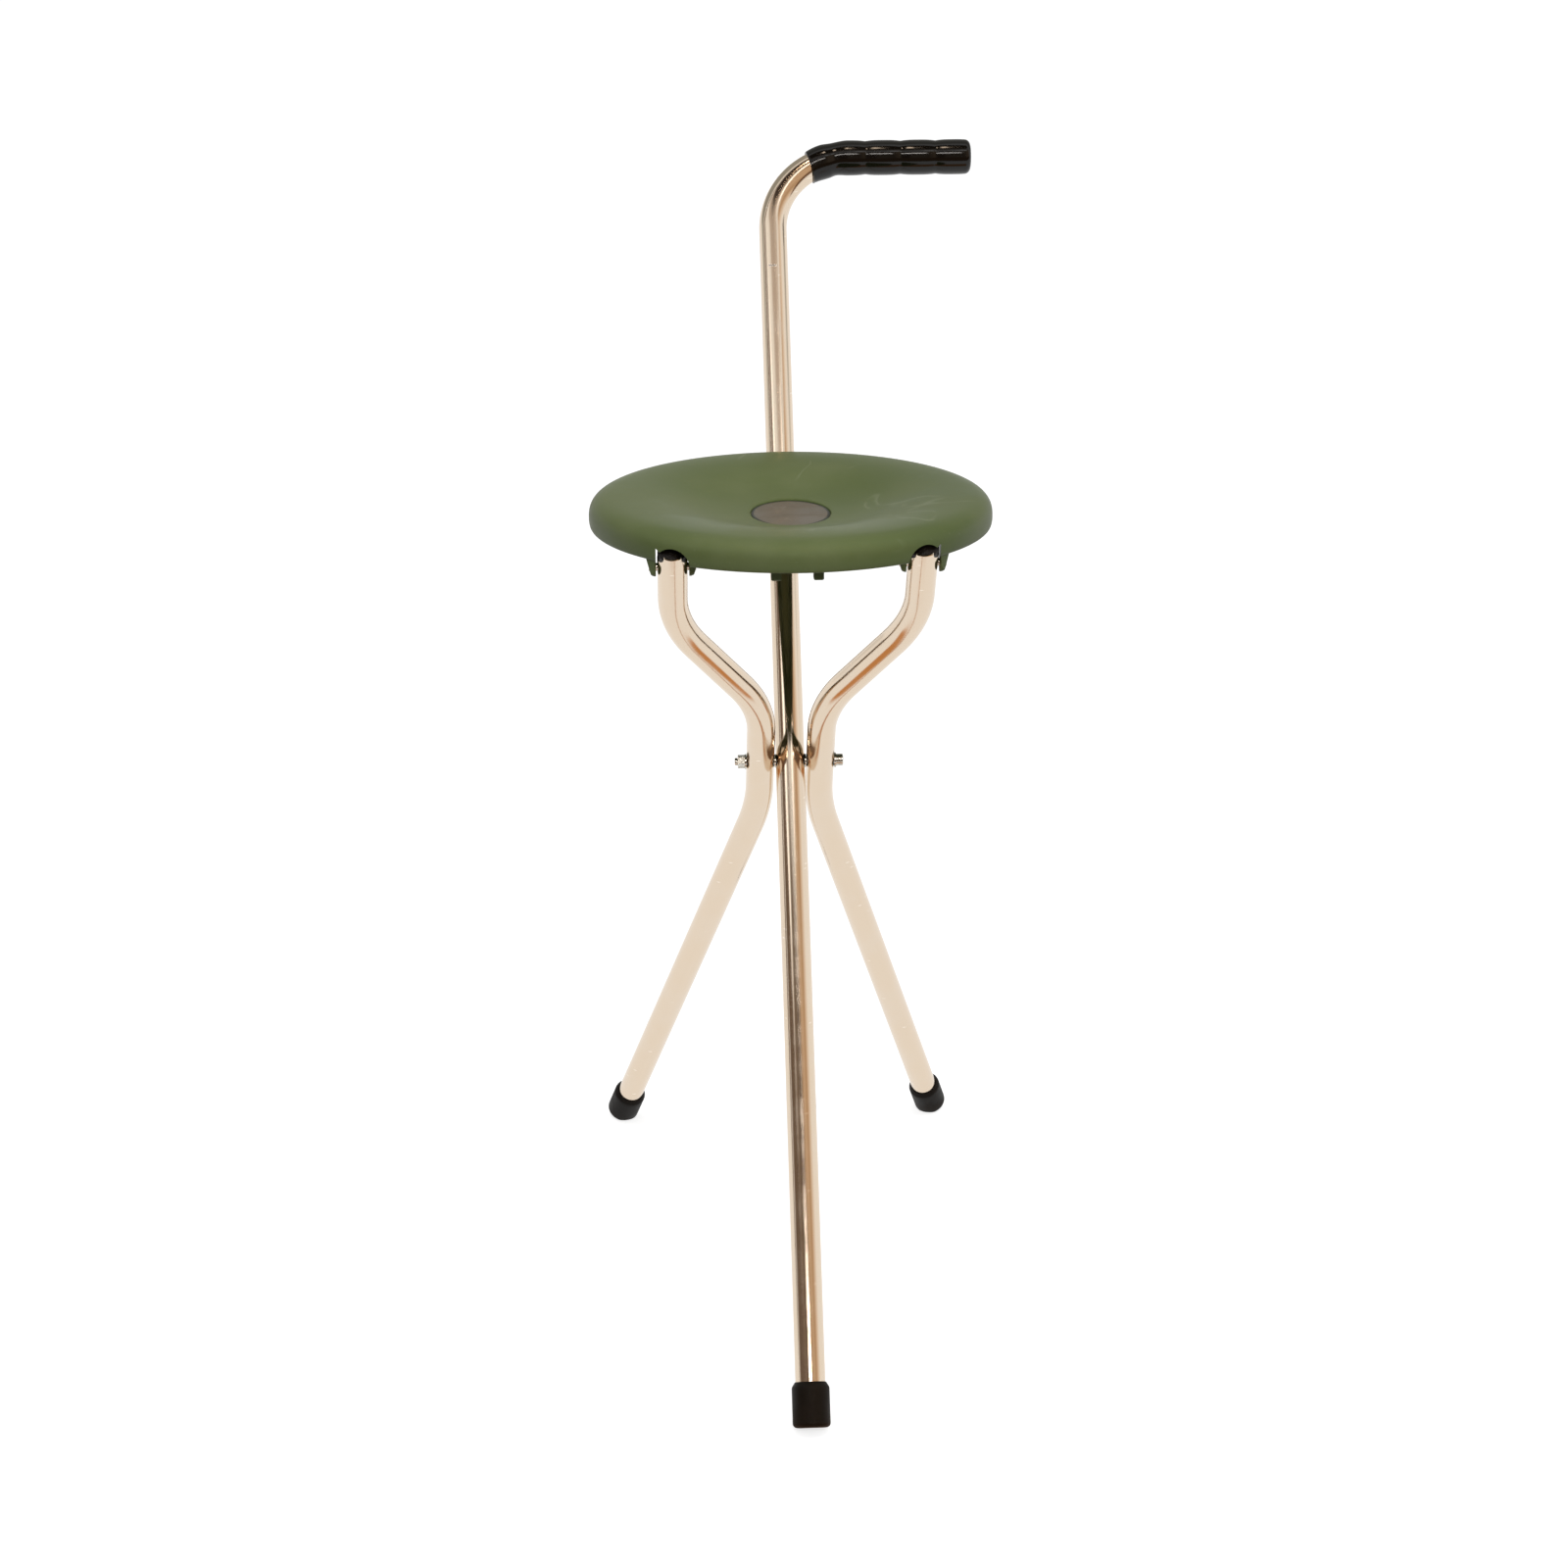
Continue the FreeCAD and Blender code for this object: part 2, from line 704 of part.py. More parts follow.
def make_all():
    """Every piece by its name, about the bolt's centre."""
    pieces = {}
    pieces["stick_tube"] = stick_leaned(make_stick_tube())
    pieces["handle_grip"] = stick_leaned(make_grip())
    pieces["stick_bush"] = stick_leaned(make_stick_bush())
    pieces["seat_stop_pin"] = stick_leaned(make_stop_pin())
    front_foot = foot_pieces(stick_radius, Vector(0, 0, -foot_reach), along_z, stick_leaned)
    pieces["front_ferrule"], pieces["front_ferrule_washer"] = front_foot

    pieces["pivot_bolt"] = make_bolt()
    pieces["pivot_nut"] = make_nut()
    outer_face = leg_x + leg_radius + running_clearance
    spacer = washer_disc(stick_radius, stick_radius + spacer_thickness, spacer_diameter)
    washer = washer_disc(outer_face, outer_face + washer_thickness, washer_diameter)
    pieces["right_spacer"] = spacer
    pieces["left_spacer"] = mirrored(spacer)
    pieces["right_washer"] = washer
    pieces["left_washer"] = mirrored(washer)

    foot, foot_washer = foot_pieces(leg_radius, foot_tip, foot_direction, legs_leaned)
    right_side = {
        "leg_tube": legs_leaned(make_leg_tube()),
        "leg_bush": legs_leaned(make_leg_bush()),
        "hinge_plug": legs_leaned(make_hinge_plug()),
        "ferrule": foot,
        "ferrule_washer": foot_washer,
        "hinge_pin": make_hinge_pin(),
    }
    for name, shape in right_side.items():
        pieces["right_" + name] = shape
        pieces["left_" + name] = mirrored(shape)

    pieces["seat_shell"] = make_seat_shell()
    pieces["seat_badge"] = make_badge()
    return pieces


os.makedirs("parts", exist_ok=True)
for name, shape in make_all().items():
    shape.translate(pivot_point)
    if not shape.isValid():
        print("not valid:", name)
    print(name, len(shape.Solids), "solid", round(shape.Volume), "cubic mm")
    shape.exportStep("parts/" + name + ".step")
print("pivot", pivot_point)
print("hinge", hinge_point + pivot_point)
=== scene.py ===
import json
import math

import bmesh
import bpy
import numpy as np
from bpy.props import FloatProperty, FloatVectorProperty, PointerProperty
from mathutils import Matrix, Vector


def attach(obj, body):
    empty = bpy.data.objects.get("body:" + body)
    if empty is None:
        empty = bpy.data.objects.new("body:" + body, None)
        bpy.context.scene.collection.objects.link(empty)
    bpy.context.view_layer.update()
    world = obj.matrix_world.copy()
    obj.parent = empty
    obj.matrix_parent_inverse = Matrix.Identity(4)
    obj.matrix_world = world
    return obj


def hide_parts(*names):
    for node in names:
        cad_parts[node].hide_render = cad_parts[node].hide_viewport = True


bl_info = {
    "name": "Walking stick seat",
    "version": (1, 0, 0),
    "blender": (4, 5, 0),
    "location": "3D View > Sidebar > Stick Seat",
    "description": "Surfaces and finishes of a walking stick that opens into a tripod stool",
    "category": "Object",
}

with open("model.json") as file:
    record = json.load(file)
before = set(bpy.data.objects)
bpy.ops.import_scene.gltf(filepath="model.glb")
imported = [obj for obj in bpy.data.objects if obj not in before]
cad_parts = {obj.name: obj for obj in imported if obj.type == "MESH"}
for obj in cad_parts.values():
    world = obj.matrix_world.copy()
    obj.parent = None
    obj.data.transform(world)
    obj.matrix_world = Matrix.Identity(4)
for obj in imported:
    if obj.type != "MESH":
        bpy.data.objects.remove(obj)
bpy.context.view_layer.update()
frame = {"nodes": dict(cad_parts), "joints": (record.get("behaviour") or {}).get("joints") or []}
joints = {joint["name"]: joint for joint in frame["joints"]}
pivot = np.array(joints["leg_fold"]["pos_m"])
hinge = np.array(joints["seat_fold"]["pos_m"]) - pivot

# Stance of the open stool, in metres and degrees
LEAN = 33.0
FOOT_REACH = 0.429
SIDE_FOOT_REACH = 0.4284

# Stick
STICK_RADIUS = 0.0095
STICK_WALL = 0.0015
HANDLE_HEIGHT = 0.429
HANDLE_END = 0.1383
HANDLE_BEND = 0.0534

# Grip
GRIP_RADIUS = 0.0113
GRIP_SWELL = 0.0007
GRIP_SWELLS = 3
GRIP_LAST_SWELL = 0.0121
GRIP_END_ROUNDING = 0.004
GRIP_MOUTH = np.array([0.0264, -0.0072])
GRIP_MOUTH_SLOPE = 16.5
GRIP_MOUTH_RADIUS = 0.0109
GRIP_CAP = 0.004

# Radius of the grip at degrees back round the bend, from its first swell to beyond its mouth
GRIP_BEND_RINGS = ((0.0, 0.0120), (11.0, 0.0112), (18.0, 0.0118), (38.0, 0.0103))

# Side legs
LEG_RADIUS = 0.00925
LEG_WALL = 0.0014
LEG_X = 0.01965
LEG_TOP_X = 0.076
LEG_TOP = 0.2075
LEG_UPPER_CORNER = 0.1392
LEG_LOWER_CORNER = 0.0569
LEG_KNEE = -0.0451
LEG_SPLAY = 14.45
LEG_BEND = 0.080
LEG_KNEE_BEND = 0.180
COPE_RADIUS = 0.008
TONGUE_WIDTH = 0.0105
PLUG_DOME = 0.0016
PLUG_LENGTH = 0.026

# Ferrules
FERRULE_HEIGHT = 0.028
FERRULE_WALL = 0.0024
FERRULE_BASE = 0.006
FERRULE_ROUNDING = 0.0028
FERRULE_MOUTH = 0.0032
FERRULE_WASHER = 0.0012

# Seat, with heights above the pivot
SEAT_CENTRE = np.array([0.0, -0.0205, 0.0])
SEAT_RADIUS = 0.1273
SEAT_EDGE = 0.167
SEAT_TOP = 0.1855
SEAT_EQUATOR = 0.1715
SEAT_DISH = 0.013
SEAT_FLAT = 0.020
SEAT_CROWN = 0.108
SEAT_CROWN_CURVE = 0.150
SEAT_WALL = 0.003
EDGE_TUCK = 0.0012
RIM_SQUARENESS = 2.8
EDGE_WIDTH = 0.0025
RIB_COUNT = 12
RIB_THICKNESS = 0.0024
RIB_BOTTOM = 0.168
RIB_RINGS = (0.044, 0.080)

# Hinge ears and the arches in the rim over the legs
HINGE_GAP = 0.0008
EAR_TIP = 0.0058
EAR_TIP_THICKNESS = 0.0027
EAR_ROOT_THICKNESS = 0.011
EAR_ROOT_WIDTH = 0.024
EAR_RISE = 0.024
ARCH_HEIGHT = 0.0095
TONGUE_SWEEP = 0.0182
PLUG_SWEEP = 0.0167
PIN_RADIUS = 0.0025

# Clip fork and back hook under the seat
FORK_WIDTH = 0.0063
FORK_DEPTH = 0.007
FORK_Y = -0.100
FORK_TIP = 0.1505
STOP_REACH = 0.187
STOP_RADIUS = 0.0025
CHEEK_INNER = 0.0175
CHEEK_THICKNESS = 0.004
CHEEK_FRONT = 0.009
CHEEK_BACK = 0.002
CHEEK_DROP = 0.005
SADDLE_DEPTH = 0.014
SADDLE_RISE = 0.022
CLEARANCE = 0.0003

# Badge plate, in a well a little deeper than it is thick
BADGE_WIDTH = 0.051
BADGE_LENGTH = 0.068
BADGE_THICKNESS = 0.001
BADGE_RECESS = 0.0014

# Height that the shape which trims the seat's details reaches down to
OUTLINE_BOTTOM = 0.14

# Camera, from a fit of the object's known sizes to the photograph's frame
CAMERA_FROM_PIVOT = (-0.09261, -1.86689, 0.63559)
CAMERA_AIM = (0.0447, 0.9432, -0.3293)
CAMERA_ROLL = -0.31
FOCAL_PIXELS = 3066.24
FRAME_PIXELS = 1600

# Stage: the floor's lift to white, and the part of it in front that the legs show as wood
FLOOR_LIFT = 0.72
WOOD_FRONT = -0.60
WOOD_BACK = -0.20
WOOD_SIDE = 0.50
WOOD_EDGE = 0.06

# Room that the metal shows: heights as a share of straight up, and azimuths in radians from the front
ROOM_TOP_LEFT = 0.55
ROOM_TOP = 0.70
CEILING_HEIGHT = 0.78
POST_AZIMUTH = 1.66

# Small edges, and the length below a leg's top that its cope draws down
TUBE_EDGE = 0.0003
COPE_ZONE = 0.020

# Light rub across the stick below the handle: its height above the floor, and its ends in metres round it
MARK_HEIGHT = 0.6585
MARK_ROUND = (0.0403, 0.0471)

# Numbers of rows and columns of the swept and turned pieces
TUBE_COLUMNS = 96
LEG_COLUMNS = 144
GRIP_BEND_ROWS = 36
GRIP_ROWS = 84
SEAT_COLUMNS = 384


def unit(vectors):
    """Each vector divided by its length."""
    return vectors / np.linalg.norm(vectors, axis=-1, keepdims=True)


def turned_x(points, degrees):
    """Points turned about the bolt's axis: a rotation in the Y and Z plane."""
    sine, cosine = math.sin(math.radians(degrees)), math.cos(math.radians(degrees))
    x, y, z = np.moveaxis(points, -1, 0)
    return np.stack([x, y * cosine - z * sine, y * sine + z * cosine], axis=-1)


def stick_leaned(points):
    """The stick leans back as it rises."""
    return turned_x(points, -LEAN)


def legs_leaned(points):
    """The side legs lean forward as they rise."""
    return turned_x(points, LEAN)


def flipped(points):
    """The same points on the left side, with their order of columns reversed so that faces stay outward."""
    return points[:, ::-1] * np.array([-1.0, 1.0, 1.0])


def grid_faces(rows, columns, closed_rows, offset=0):
    """Quads of a grid that wraps round its columns, and round its rows too when they are closed."""
    row = np.arange(rows if closed_rows else rows - 1)[:, None]
    column = np.arange(columns)[None, :]
    next_row = (row + 1) % rows
    next_column = (column + 1) % columns
    corners = [
        row * columns + column,
        row * columns + next_column,
        next_row * columns + next_column,
        next_row * columns + column,
    ]
    return (np.stack(np.broadcast_arrays(*corners), axis=-1).reshape(-1, 4) + offset).tolist()


def surface(name, points, closed_rows=False, poles=(False, False), sharp_degrees=40.0):
    """Mesh object from a grid of points given about the pivot, rows by columns.

    Columns wrap round. The rows form a closed loop, or end in a pole, which is one
    vertex at the mean of the end row, joined to that row by triangles.
    """
    rows, columns = points.shape[:2]
    vertices = (points.reshape(-1, 3) + pivot).tolist()
    faces = grid_faces(rows, columns, closed_rows)
    column = list(range(columns))
    for at_end, wanted in enumerate(poles):
        if not wanted:
            continue
        start = (rows - 1) * columns if at_end else 0
        vertices.append((points[-1 if at_end else 0].mean(axis=0) + pivot).tolist())
        pole = len(vertices) - 1
        for a in column:
            b = (a + 1) % columns
            pair = (start + a, start + b) if at_end else (start + b, start + a)
            faces.append([pair[0], pair[1], pole])
    mesh = bpy.data.meshes.new(name)
    mesh.from_pydata(vertices, [], faces)
    mesh.validate()
    piece = bpy.data.objects.new(name, mesh)
    bpy.context.scene.collection.objects.link(piece)
    outward(piece)
    shade(piece, sharp_degrees)
    return piece


def outward(piece):
    """Merge doubled points and turn every face of a closed piece outward."""
    work = bmesh.new()
    work.from_mesh(piece.data)
    bmesh.ops.remove_doubles(work, verts=work.verts, dist=1e-7)
    bmesh.ops.recalc_face_normals(work, faces=work.faces)
    work.to_mesh(piece.data)
    work.free()


def shade(piece, sharp_degrees):
    """Smooth shading, with edges sharper than an angle left crisp."""
    mesh = piece.data
    mesh.polygons.foreach_set("use_smooth", np.ones(len(mesh.polygons), bool))
    mesh.set_sharp_from_angle(angle=math.radians(sharp_degrees))


def finish_piece(piece, body, slot, material, *nodes):
    """Give a piece its finish, the body that it moves with and the nodes that it stands for."""
    piece.data.materials.clear()
    piece.data.materials.append(material)
    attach(piece, body)
    if nodes:
        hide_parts(*nodes)
    return piece


def bent_path(corners, radii, steps=20, run_steps=6):
    """Centres and directions along straight runs joined by tangent arcs, in the X and Z plane.

    An arc of radius r that turns by t starts r tan(t / 2) before its corner. Its points
    are the centre plus the start radius turned by equal parts of t.
    """
    corners = np.array(corners, float)
    places, directions = [], []
    start = corners[0]
    for before, corner, after, radius in zip(corners, corners[1:], corners[2:], radii):
        into, out = unit(corner - before), unit(after - corner)
        turn = math.atan2(into[0] * out[1] - into[1] * out[0], into @ out)
        setback = radius * math.tan(abs(turn) / 2)
        first = corner - into * setback
        side = np.array([-into[1], into[0]]) * math.copysign(1.0, turn)
        centre = first + side * radius
        angle = turn * np.linspace(0, 1, steps + 1)[:, None]
        arm = first - centre
        across = np.array([-arm[1], arm[0]])
        share = np.linspace(0, 1, run_steps, endpoint=False)[:, None]
        places += [start + (first - start) * share, centre + arm * np.cos(angle) + across * np.sin(angle)]
        directions.append(np.repeat(into[None], run_steps, axis=0))
        directions.append(into * np.cos(angle) + np.array([-into[1], into[0]]) * np.sin(angle))
        start = places[-1][-1]
    last = unit(corners[-1] - corners[-2])
    share = np.linspace(0, 1, run_steps + 1)[1:, None]
    places.append(start + (corners[-1] - start) * share)
    directions.append(np.repeat(last[None], run_steps, axis=0))
    flat = np.concatenate(places), np.concatenate(directions)
    return [np.stack([p[:, 0], np.zeros(len(p)), p[:, 1]], axis=1) for p in flat]


def swept(centres, directions, radii, angles):
    """A round section carried along a path in the X and Z plane.

    A point is the centre plus the radius times (cosine of the angle times the in-plane
    normal, plus its sine times Y). Radii are one for each row, angles rows by columns.
    """
    normals = np.stack([directions[:, 2], directions[:, 1], -directions[:, 0]], axis=1)
    radii = np.broadcast_to(np.asarray(radii, float).reshape(-1, 1), (len(centres), 1))
    angles = np.broadcast_to(angles, (len(centres), np.shape(angles)[-1]))
    ring = np.cos(angles)[..., None] * normals[:, None] + np.sin(angles)[..., None] * np.array([0, 1.0, 0])
    return centres[:, None] + radii[..., None] * ring


def even_angles(columns):
    return np.linspace(0, 2 * math.pi, columns, endpoint=False)[None, :]


def with_rings(centres, directions, radius, wall, edge):
    """Rows of a tube's closed wall: outside down the path, round the end and back inside.

    The first and last outer rows stand an edge's width back from the ends, so that each
    end has a small chamfer inside and out.
    """
    outer = centres.copy()
    outer[0] += directions[0] * edge
    outer[-1] -= directions[-1] * edge
    rows = [outer, centres[-1:], centres[-1:], outer[::-1], centres[:1], centres[:1]]
    ways = [directions, directions[-1:], directions[-1:], directions[::-1], directions[:1], directions[:1]]
    inner = radius - wall
    sizes = [
        np.full(len(outer), radius),
        [radius - edge],
        [inner + edge],
        np.full(len(outer), inner),
        [inner + edge],
        [radius - edge],
    ]
    return np.concatenate(rows), np.concatenate(ways), np.concatenate(sizes)


def add_tube_coordinates(piece, columns, metres_round):
    """UV map of a swept piece: U once round it, V along it in metres, for patterns drawn lengthways."""
    mesh = piece.data
    layer = mesh.uv_layers.new(name="along")
    loops = np.zeros(len(mesh.loops), int)
    mesh.loops.foreach_get("vertex_index", loops)
    places = np.zeros(len(mesh.vertices) * 3)
    mesh.vertices.foreach_get("co", places)
    places = places.reshape(-1, 3)
    index = np.arange(len(places))
    uv = np.stack([index % columns / columns, places[:, 2]], axis=1)[loops]
    starts = np.zeros(len(mesh.polygons), int)
    totals = np.zeros(len(mesh.polygons), int)
    mesh.polygons.foreach_get("loop_start", starts)
    mesh.polygons.foreach_get("loop_total", totals)
    face = np.repeat(np.arange(len(starts)), totals)
    high = np.maximum.reduceat(uv[:, 0], starts)[face]
    uv[:, 0] += (high - uv[:, 0] > 0.5) * 1.0
    uv[:, 0] *= metres_round
    layer.data.foreach_set("uv", uv.ravel())


def turned_about(tip, direction, profile, columns):
    """A profile of (radius, height) pairs turned about an axis from its tip: a surface of revolution."""
    direction = unit(np.array(direction, float))
    first = unit(np.cross([0.0, 1.0, 0.0], direction))
    second = np.cross(direction, first)
    angle = even_angles(columns)[..., None]
    ring = np.cos(angle) * first + np.sin(angle) * second
    radius, height = np.array(profile, float).T
    return tip + height[:, None, None] * direction + radius[:, None, None] * ring


def arc_points(centre, radii, degrees, steps):
    """Points of an ellipse's stretch: centre plus (a cosine, b sine) between two angles."""
    angle = np.radians(np.linspace(degrees[0], degrees[1], steps))
    return [(centre[0] + radii[0] * math.cos(a), centre[1] + radii[1] * math.sin(a)) for a in angle]


def fuller_arc(centre, radii, steps):
    """Points from the top to the side of an oval whose corner is fuller than an ellipse's."""
    power = 2 / RIM_SQUARENESS
    angle = np.radians(np.linspace(90, 0, steps))
    x = np.abs(np.cos(angle)) ** power
    z = np.sin(angle) ** power
    return [(centre[0] + radii[0] * a, centre[1] + radii[1] * b) for a, b in zip(x, z)]


def cut_level(piece, height):
    """Cut a closed piece by a level plane, keep what is above and close it with a flat."""
    work = bmesh.new()
    work.from_mesh(piece.data)
    parts = work.verts[:] + work.edges[:] + work.faces[:]
    cut = bmesh.ops.bisect_plane(
        work, geom=parts, plane_co=(0, 0, height), plane_no=(0, 0, 1), clear_inner=True
    )
    edges = [e for e in cut["geom_cut"] if isinstance(e, bmesh.types.BMEdge)]
    bmesh.ops.contextual_create(work, geom=edges)
    work.to_mesh(piece.data)
    work.free()
    shade(piece, 40)


def boolean(piece, cutter, operation):
    """Join a piece with another closed piece or cut it by one, and drop the other."""
    step = piece.modifiers.new(operation.lower(), "BOOLEAN")
    step.operation = operation
    step.solver = "EXACT"
    step.object = cutter
    bpy.context.view_layer.update()
    worked = piece.evaluated_get(bpy.context.evaluated_depsgraph_get())
    mesh = bpy.data.meshes.new_from_object(worked)
    piece.modifiers.clear()
    piece.data = mesh
    bpy.data.objects.remove(cutter)


def stick_path():
    """The stick's centre line: up from the ferrule, round the bend and along the handle."""
    foot = -(FOOT_REACH - FERRULE_BASE - FERRULE_WASHER)
    corners = [(0, foot), (0, HANDLE_HEIGHT), (HANDLE_END - GRIP_CAP, HANDLE_HEIGHT)]
    return bent_path(corners, [HANDLE_BEND], steps=36)


def make_stick(material):
    """Bent tube with a closed wall."""
    rows = with_rings(*stick_path(), STICK_RADIUS, STICK_WALL, TUBE_EDGE)
    points = swept(*rows, even_angles(TUBE_COLUMNS))
    piece = surface("stick", stick_leaned(points), closed_rows=True)
    add_tube_coordinates(piece, TUBE_COLUMNS, 2 * math.pi * STICK_RADIUS)
    return finish_piece(piece, "main_stick", "tube_metal", material, "stick_tube")


def coped(points):
    """Draw the top of a leg down to its coped edge.

    Beside the tongue the edge is a circle's arc: the top less the root of (cope radius
    squared less the distance to the bar's axis squared). Heights between the zone's foot
    and the top are scaled in proportion.
    """
    zone_foot = LEG_TOP - COPE_ZONE
    x, y, z = np.moveaxis(points, -1, 0)
    beside = TONGUE_WIDTH / 2 + COPE_RADIUS - np.abs(x - LEG_TOP_X)
    drop = np.sqrt(np.clip(COPE_RADIUS ** 2 - beside ** 2, 0, None))
    drop = np.where(beside < COPE_RADIUS, drop, 0)
    share = np.clip((z - zone_foot) / COPE_ZONE, 0, None)
    return np.stack([x, y, z - drop * share], axis=-1)


def leg_foot():
    """Tip of the right foot and the direction up its leg, before the lean."""
    sine, cosine = math.sin(math.radians(LEG_SPLAY)), math.cos(math.radians(LEG_SPLAY))
    foot_x = LEG_X + (SIDE_FOOT_REACH + LEG_KNEE) * sine / cosine
    return np.array([foot_x, 0, -SIDE_FOOT_REACH]), np.array([-sine, 0, cosine])


def make_leg(side, material):
    """Bent side leg with a coped top, drawn on the right and mirrored for the left."""
    tip, upward = leg_foot()
    end = tip + upward * (FERRULE_BASE + FERRULE_WASHER)
    corners = [
        (LEG_TOP_X, LEG_TOP),
        (LEG_TOP_X, LEG_UPPER_CORNER),
        (LEG_X, LEG_LOWER_CORNER),
        (LEG_X, LEG_KNEE),
        (end[0], end[2]),
    ]
    path = bent_path(corners, [LEG_BEND, LEG_BEND, LEG_KNEE_BEND], steps=18, run_steps=8)
    rows = with_rings(*path, LEG_RADIUS, LEG_WALL, TUBE_EDGE)
    points = legs_leaned(coped(swept(*rows, even_angles(LEG_COLUMNS))))
    if side == "left":
        points = flipped(points)
    piece = surface(side + "_leg", points, closed_rows=True)
    add_tube_coordinates(piece, LEG_COLUMNS, 2 * math.pi * LEG_RADIUS)
    return finish_piece(piece, "side_legs", "tube_metal", material, side + "_leg_tube")


def make_plug(side, material):
    """Moulded plug in a leg's top, full width beside the tongue, with a low domed end."""
    inner = LEG_RADIUS - LEG_WALL - 0.00005
    full = LEG_RADIUS - 0.0002
    foot = LEG_TOP - PLUG_LENGTH
    shoulder = LEG_TOP - COPE_RADIUS
    profile = [(inner * 0.5, foot), (inner, foot), (inner, shoulder - 0.0005)]
    profile += [(full, shoulder), (full, LEG_TOP - 0.003)]
    profile += arc_points((full - 0.0015, LEG_TOP - 0.0022), (0.0015, 0.0015), (0, 60), 6)
    profile += arc_points((0, LEG_TOP - 0.0009), (full - 0.0008, PLUG_DOME + 0.0009), (72, 88), 6)
    start = np.array([LEG_TOP_X, 0, 0])
    points = legs_leaned(turned_about(start, (0, 0, 1), profile, TUBE_COLUMNS))
    if side == "left":
        points = flipped(points)
    piece = surface(side + "_plug", points, poles=(True, True), sharp_degrees=35)
    return finish_piece(piece, "side_legs", "plug_plastic", material, side + "_hinge_plug")


def ferrule_profile(tube_radius):
    """Half section of a ferrule, from the middle of its base round the mouth to the bottom of its bore."""
    base = tube_radius + FERRULE_WALL
    rounding = FERRULE_ROUNDING
    low_edge = arc_points((base - rounding, rounding), (rounding, rounding), (-90, 0), 11)
    shoulder = FERRULE_HEIGHT - FERRULE_MOUTH
    side = [(base, rounding + (shoulder - rounding) * k / 6) for k in range(1, 6)]
    mouth = [
        (base, shoulder - 0.0006),
        (base - 0.0001, shoulder),
        (base - 0.0004, shoulder + 0.0006),
        (tube_radius + 0.0009, FERRULE_HEIGHT - 0.0008),
        (tube_radius + 0.0005, FERRULE_HEIGHT - 0.0002),
        (tube_radius + 0.0002, FERRULE_HEIGHT),
        (tube_radius + 0.00005, FERRULE_HEIGHT - 0.0003),
    ]
    floor = [(tube_radius + 0.00005, FERRULE_BASE), (tube_radius * 0.5, FERRULE_BASE)]
    return [(0.004, 0.0)] + low_edge + side + mouth + floor


def make_ferrule(place, tube_radius, tip, upward, lean, body, material):
    """Rubber ferrule on the front, left or right foot, cut level with the floor."""
    points = lean(turned_about(tip, upward, ferrule_profile(tube_radius), TUBE_COLUMNS))
    if place == "left":
        points = flipped(points)
    piece = surface(place + "_foot", points, poles=(True, True), sharp_degrees=35)
    cut_level(piece, 0.0)
    return finish_piece(piece, body, "ferrule", material, place + "_ferrule")


def grip_radius_at(length):
    """Radius of the grip at a length along its axis from the end of the bend, less than zero in the bend.

    Each swell rises as one less the cube of the distance from its middle in half pitches,
    which is broad on top with a narrow valley on each side. In the bend the radius eases
    from one ring to the next by a half turn of the cosine.
    """
    pitch = (HANDLE_END - HANDLE_BEND - GRIP_LAST_SWELL) / GRIP_SWELLS
    pitches = length / pitch
    away = np.abs(pitches - np.round(pitches)) * 2
    straight = GRIP_RADIUS + GRIP_SWELL * (1 - away ** 3)
    degrees = np.degrees(np.clip(-length / HANDLE_BEND, 0, None))
    places, radii = np.array(GRIP_BEND_RINGS).T
    ring = np.clip(np.searchsorted(places, degrees, side="right") - 1, 0, len(places) - 2)
    share = np.clip((degrees - places[ring]) / (places[ring + 1] - places[ring]), 0, 1)
    bent = radii[ring] + (radii[ring + 1] - radii[ring]) * (1 - np.cos(math.pi * share)) / 2
    return np.where(length > 0, straight, bent)


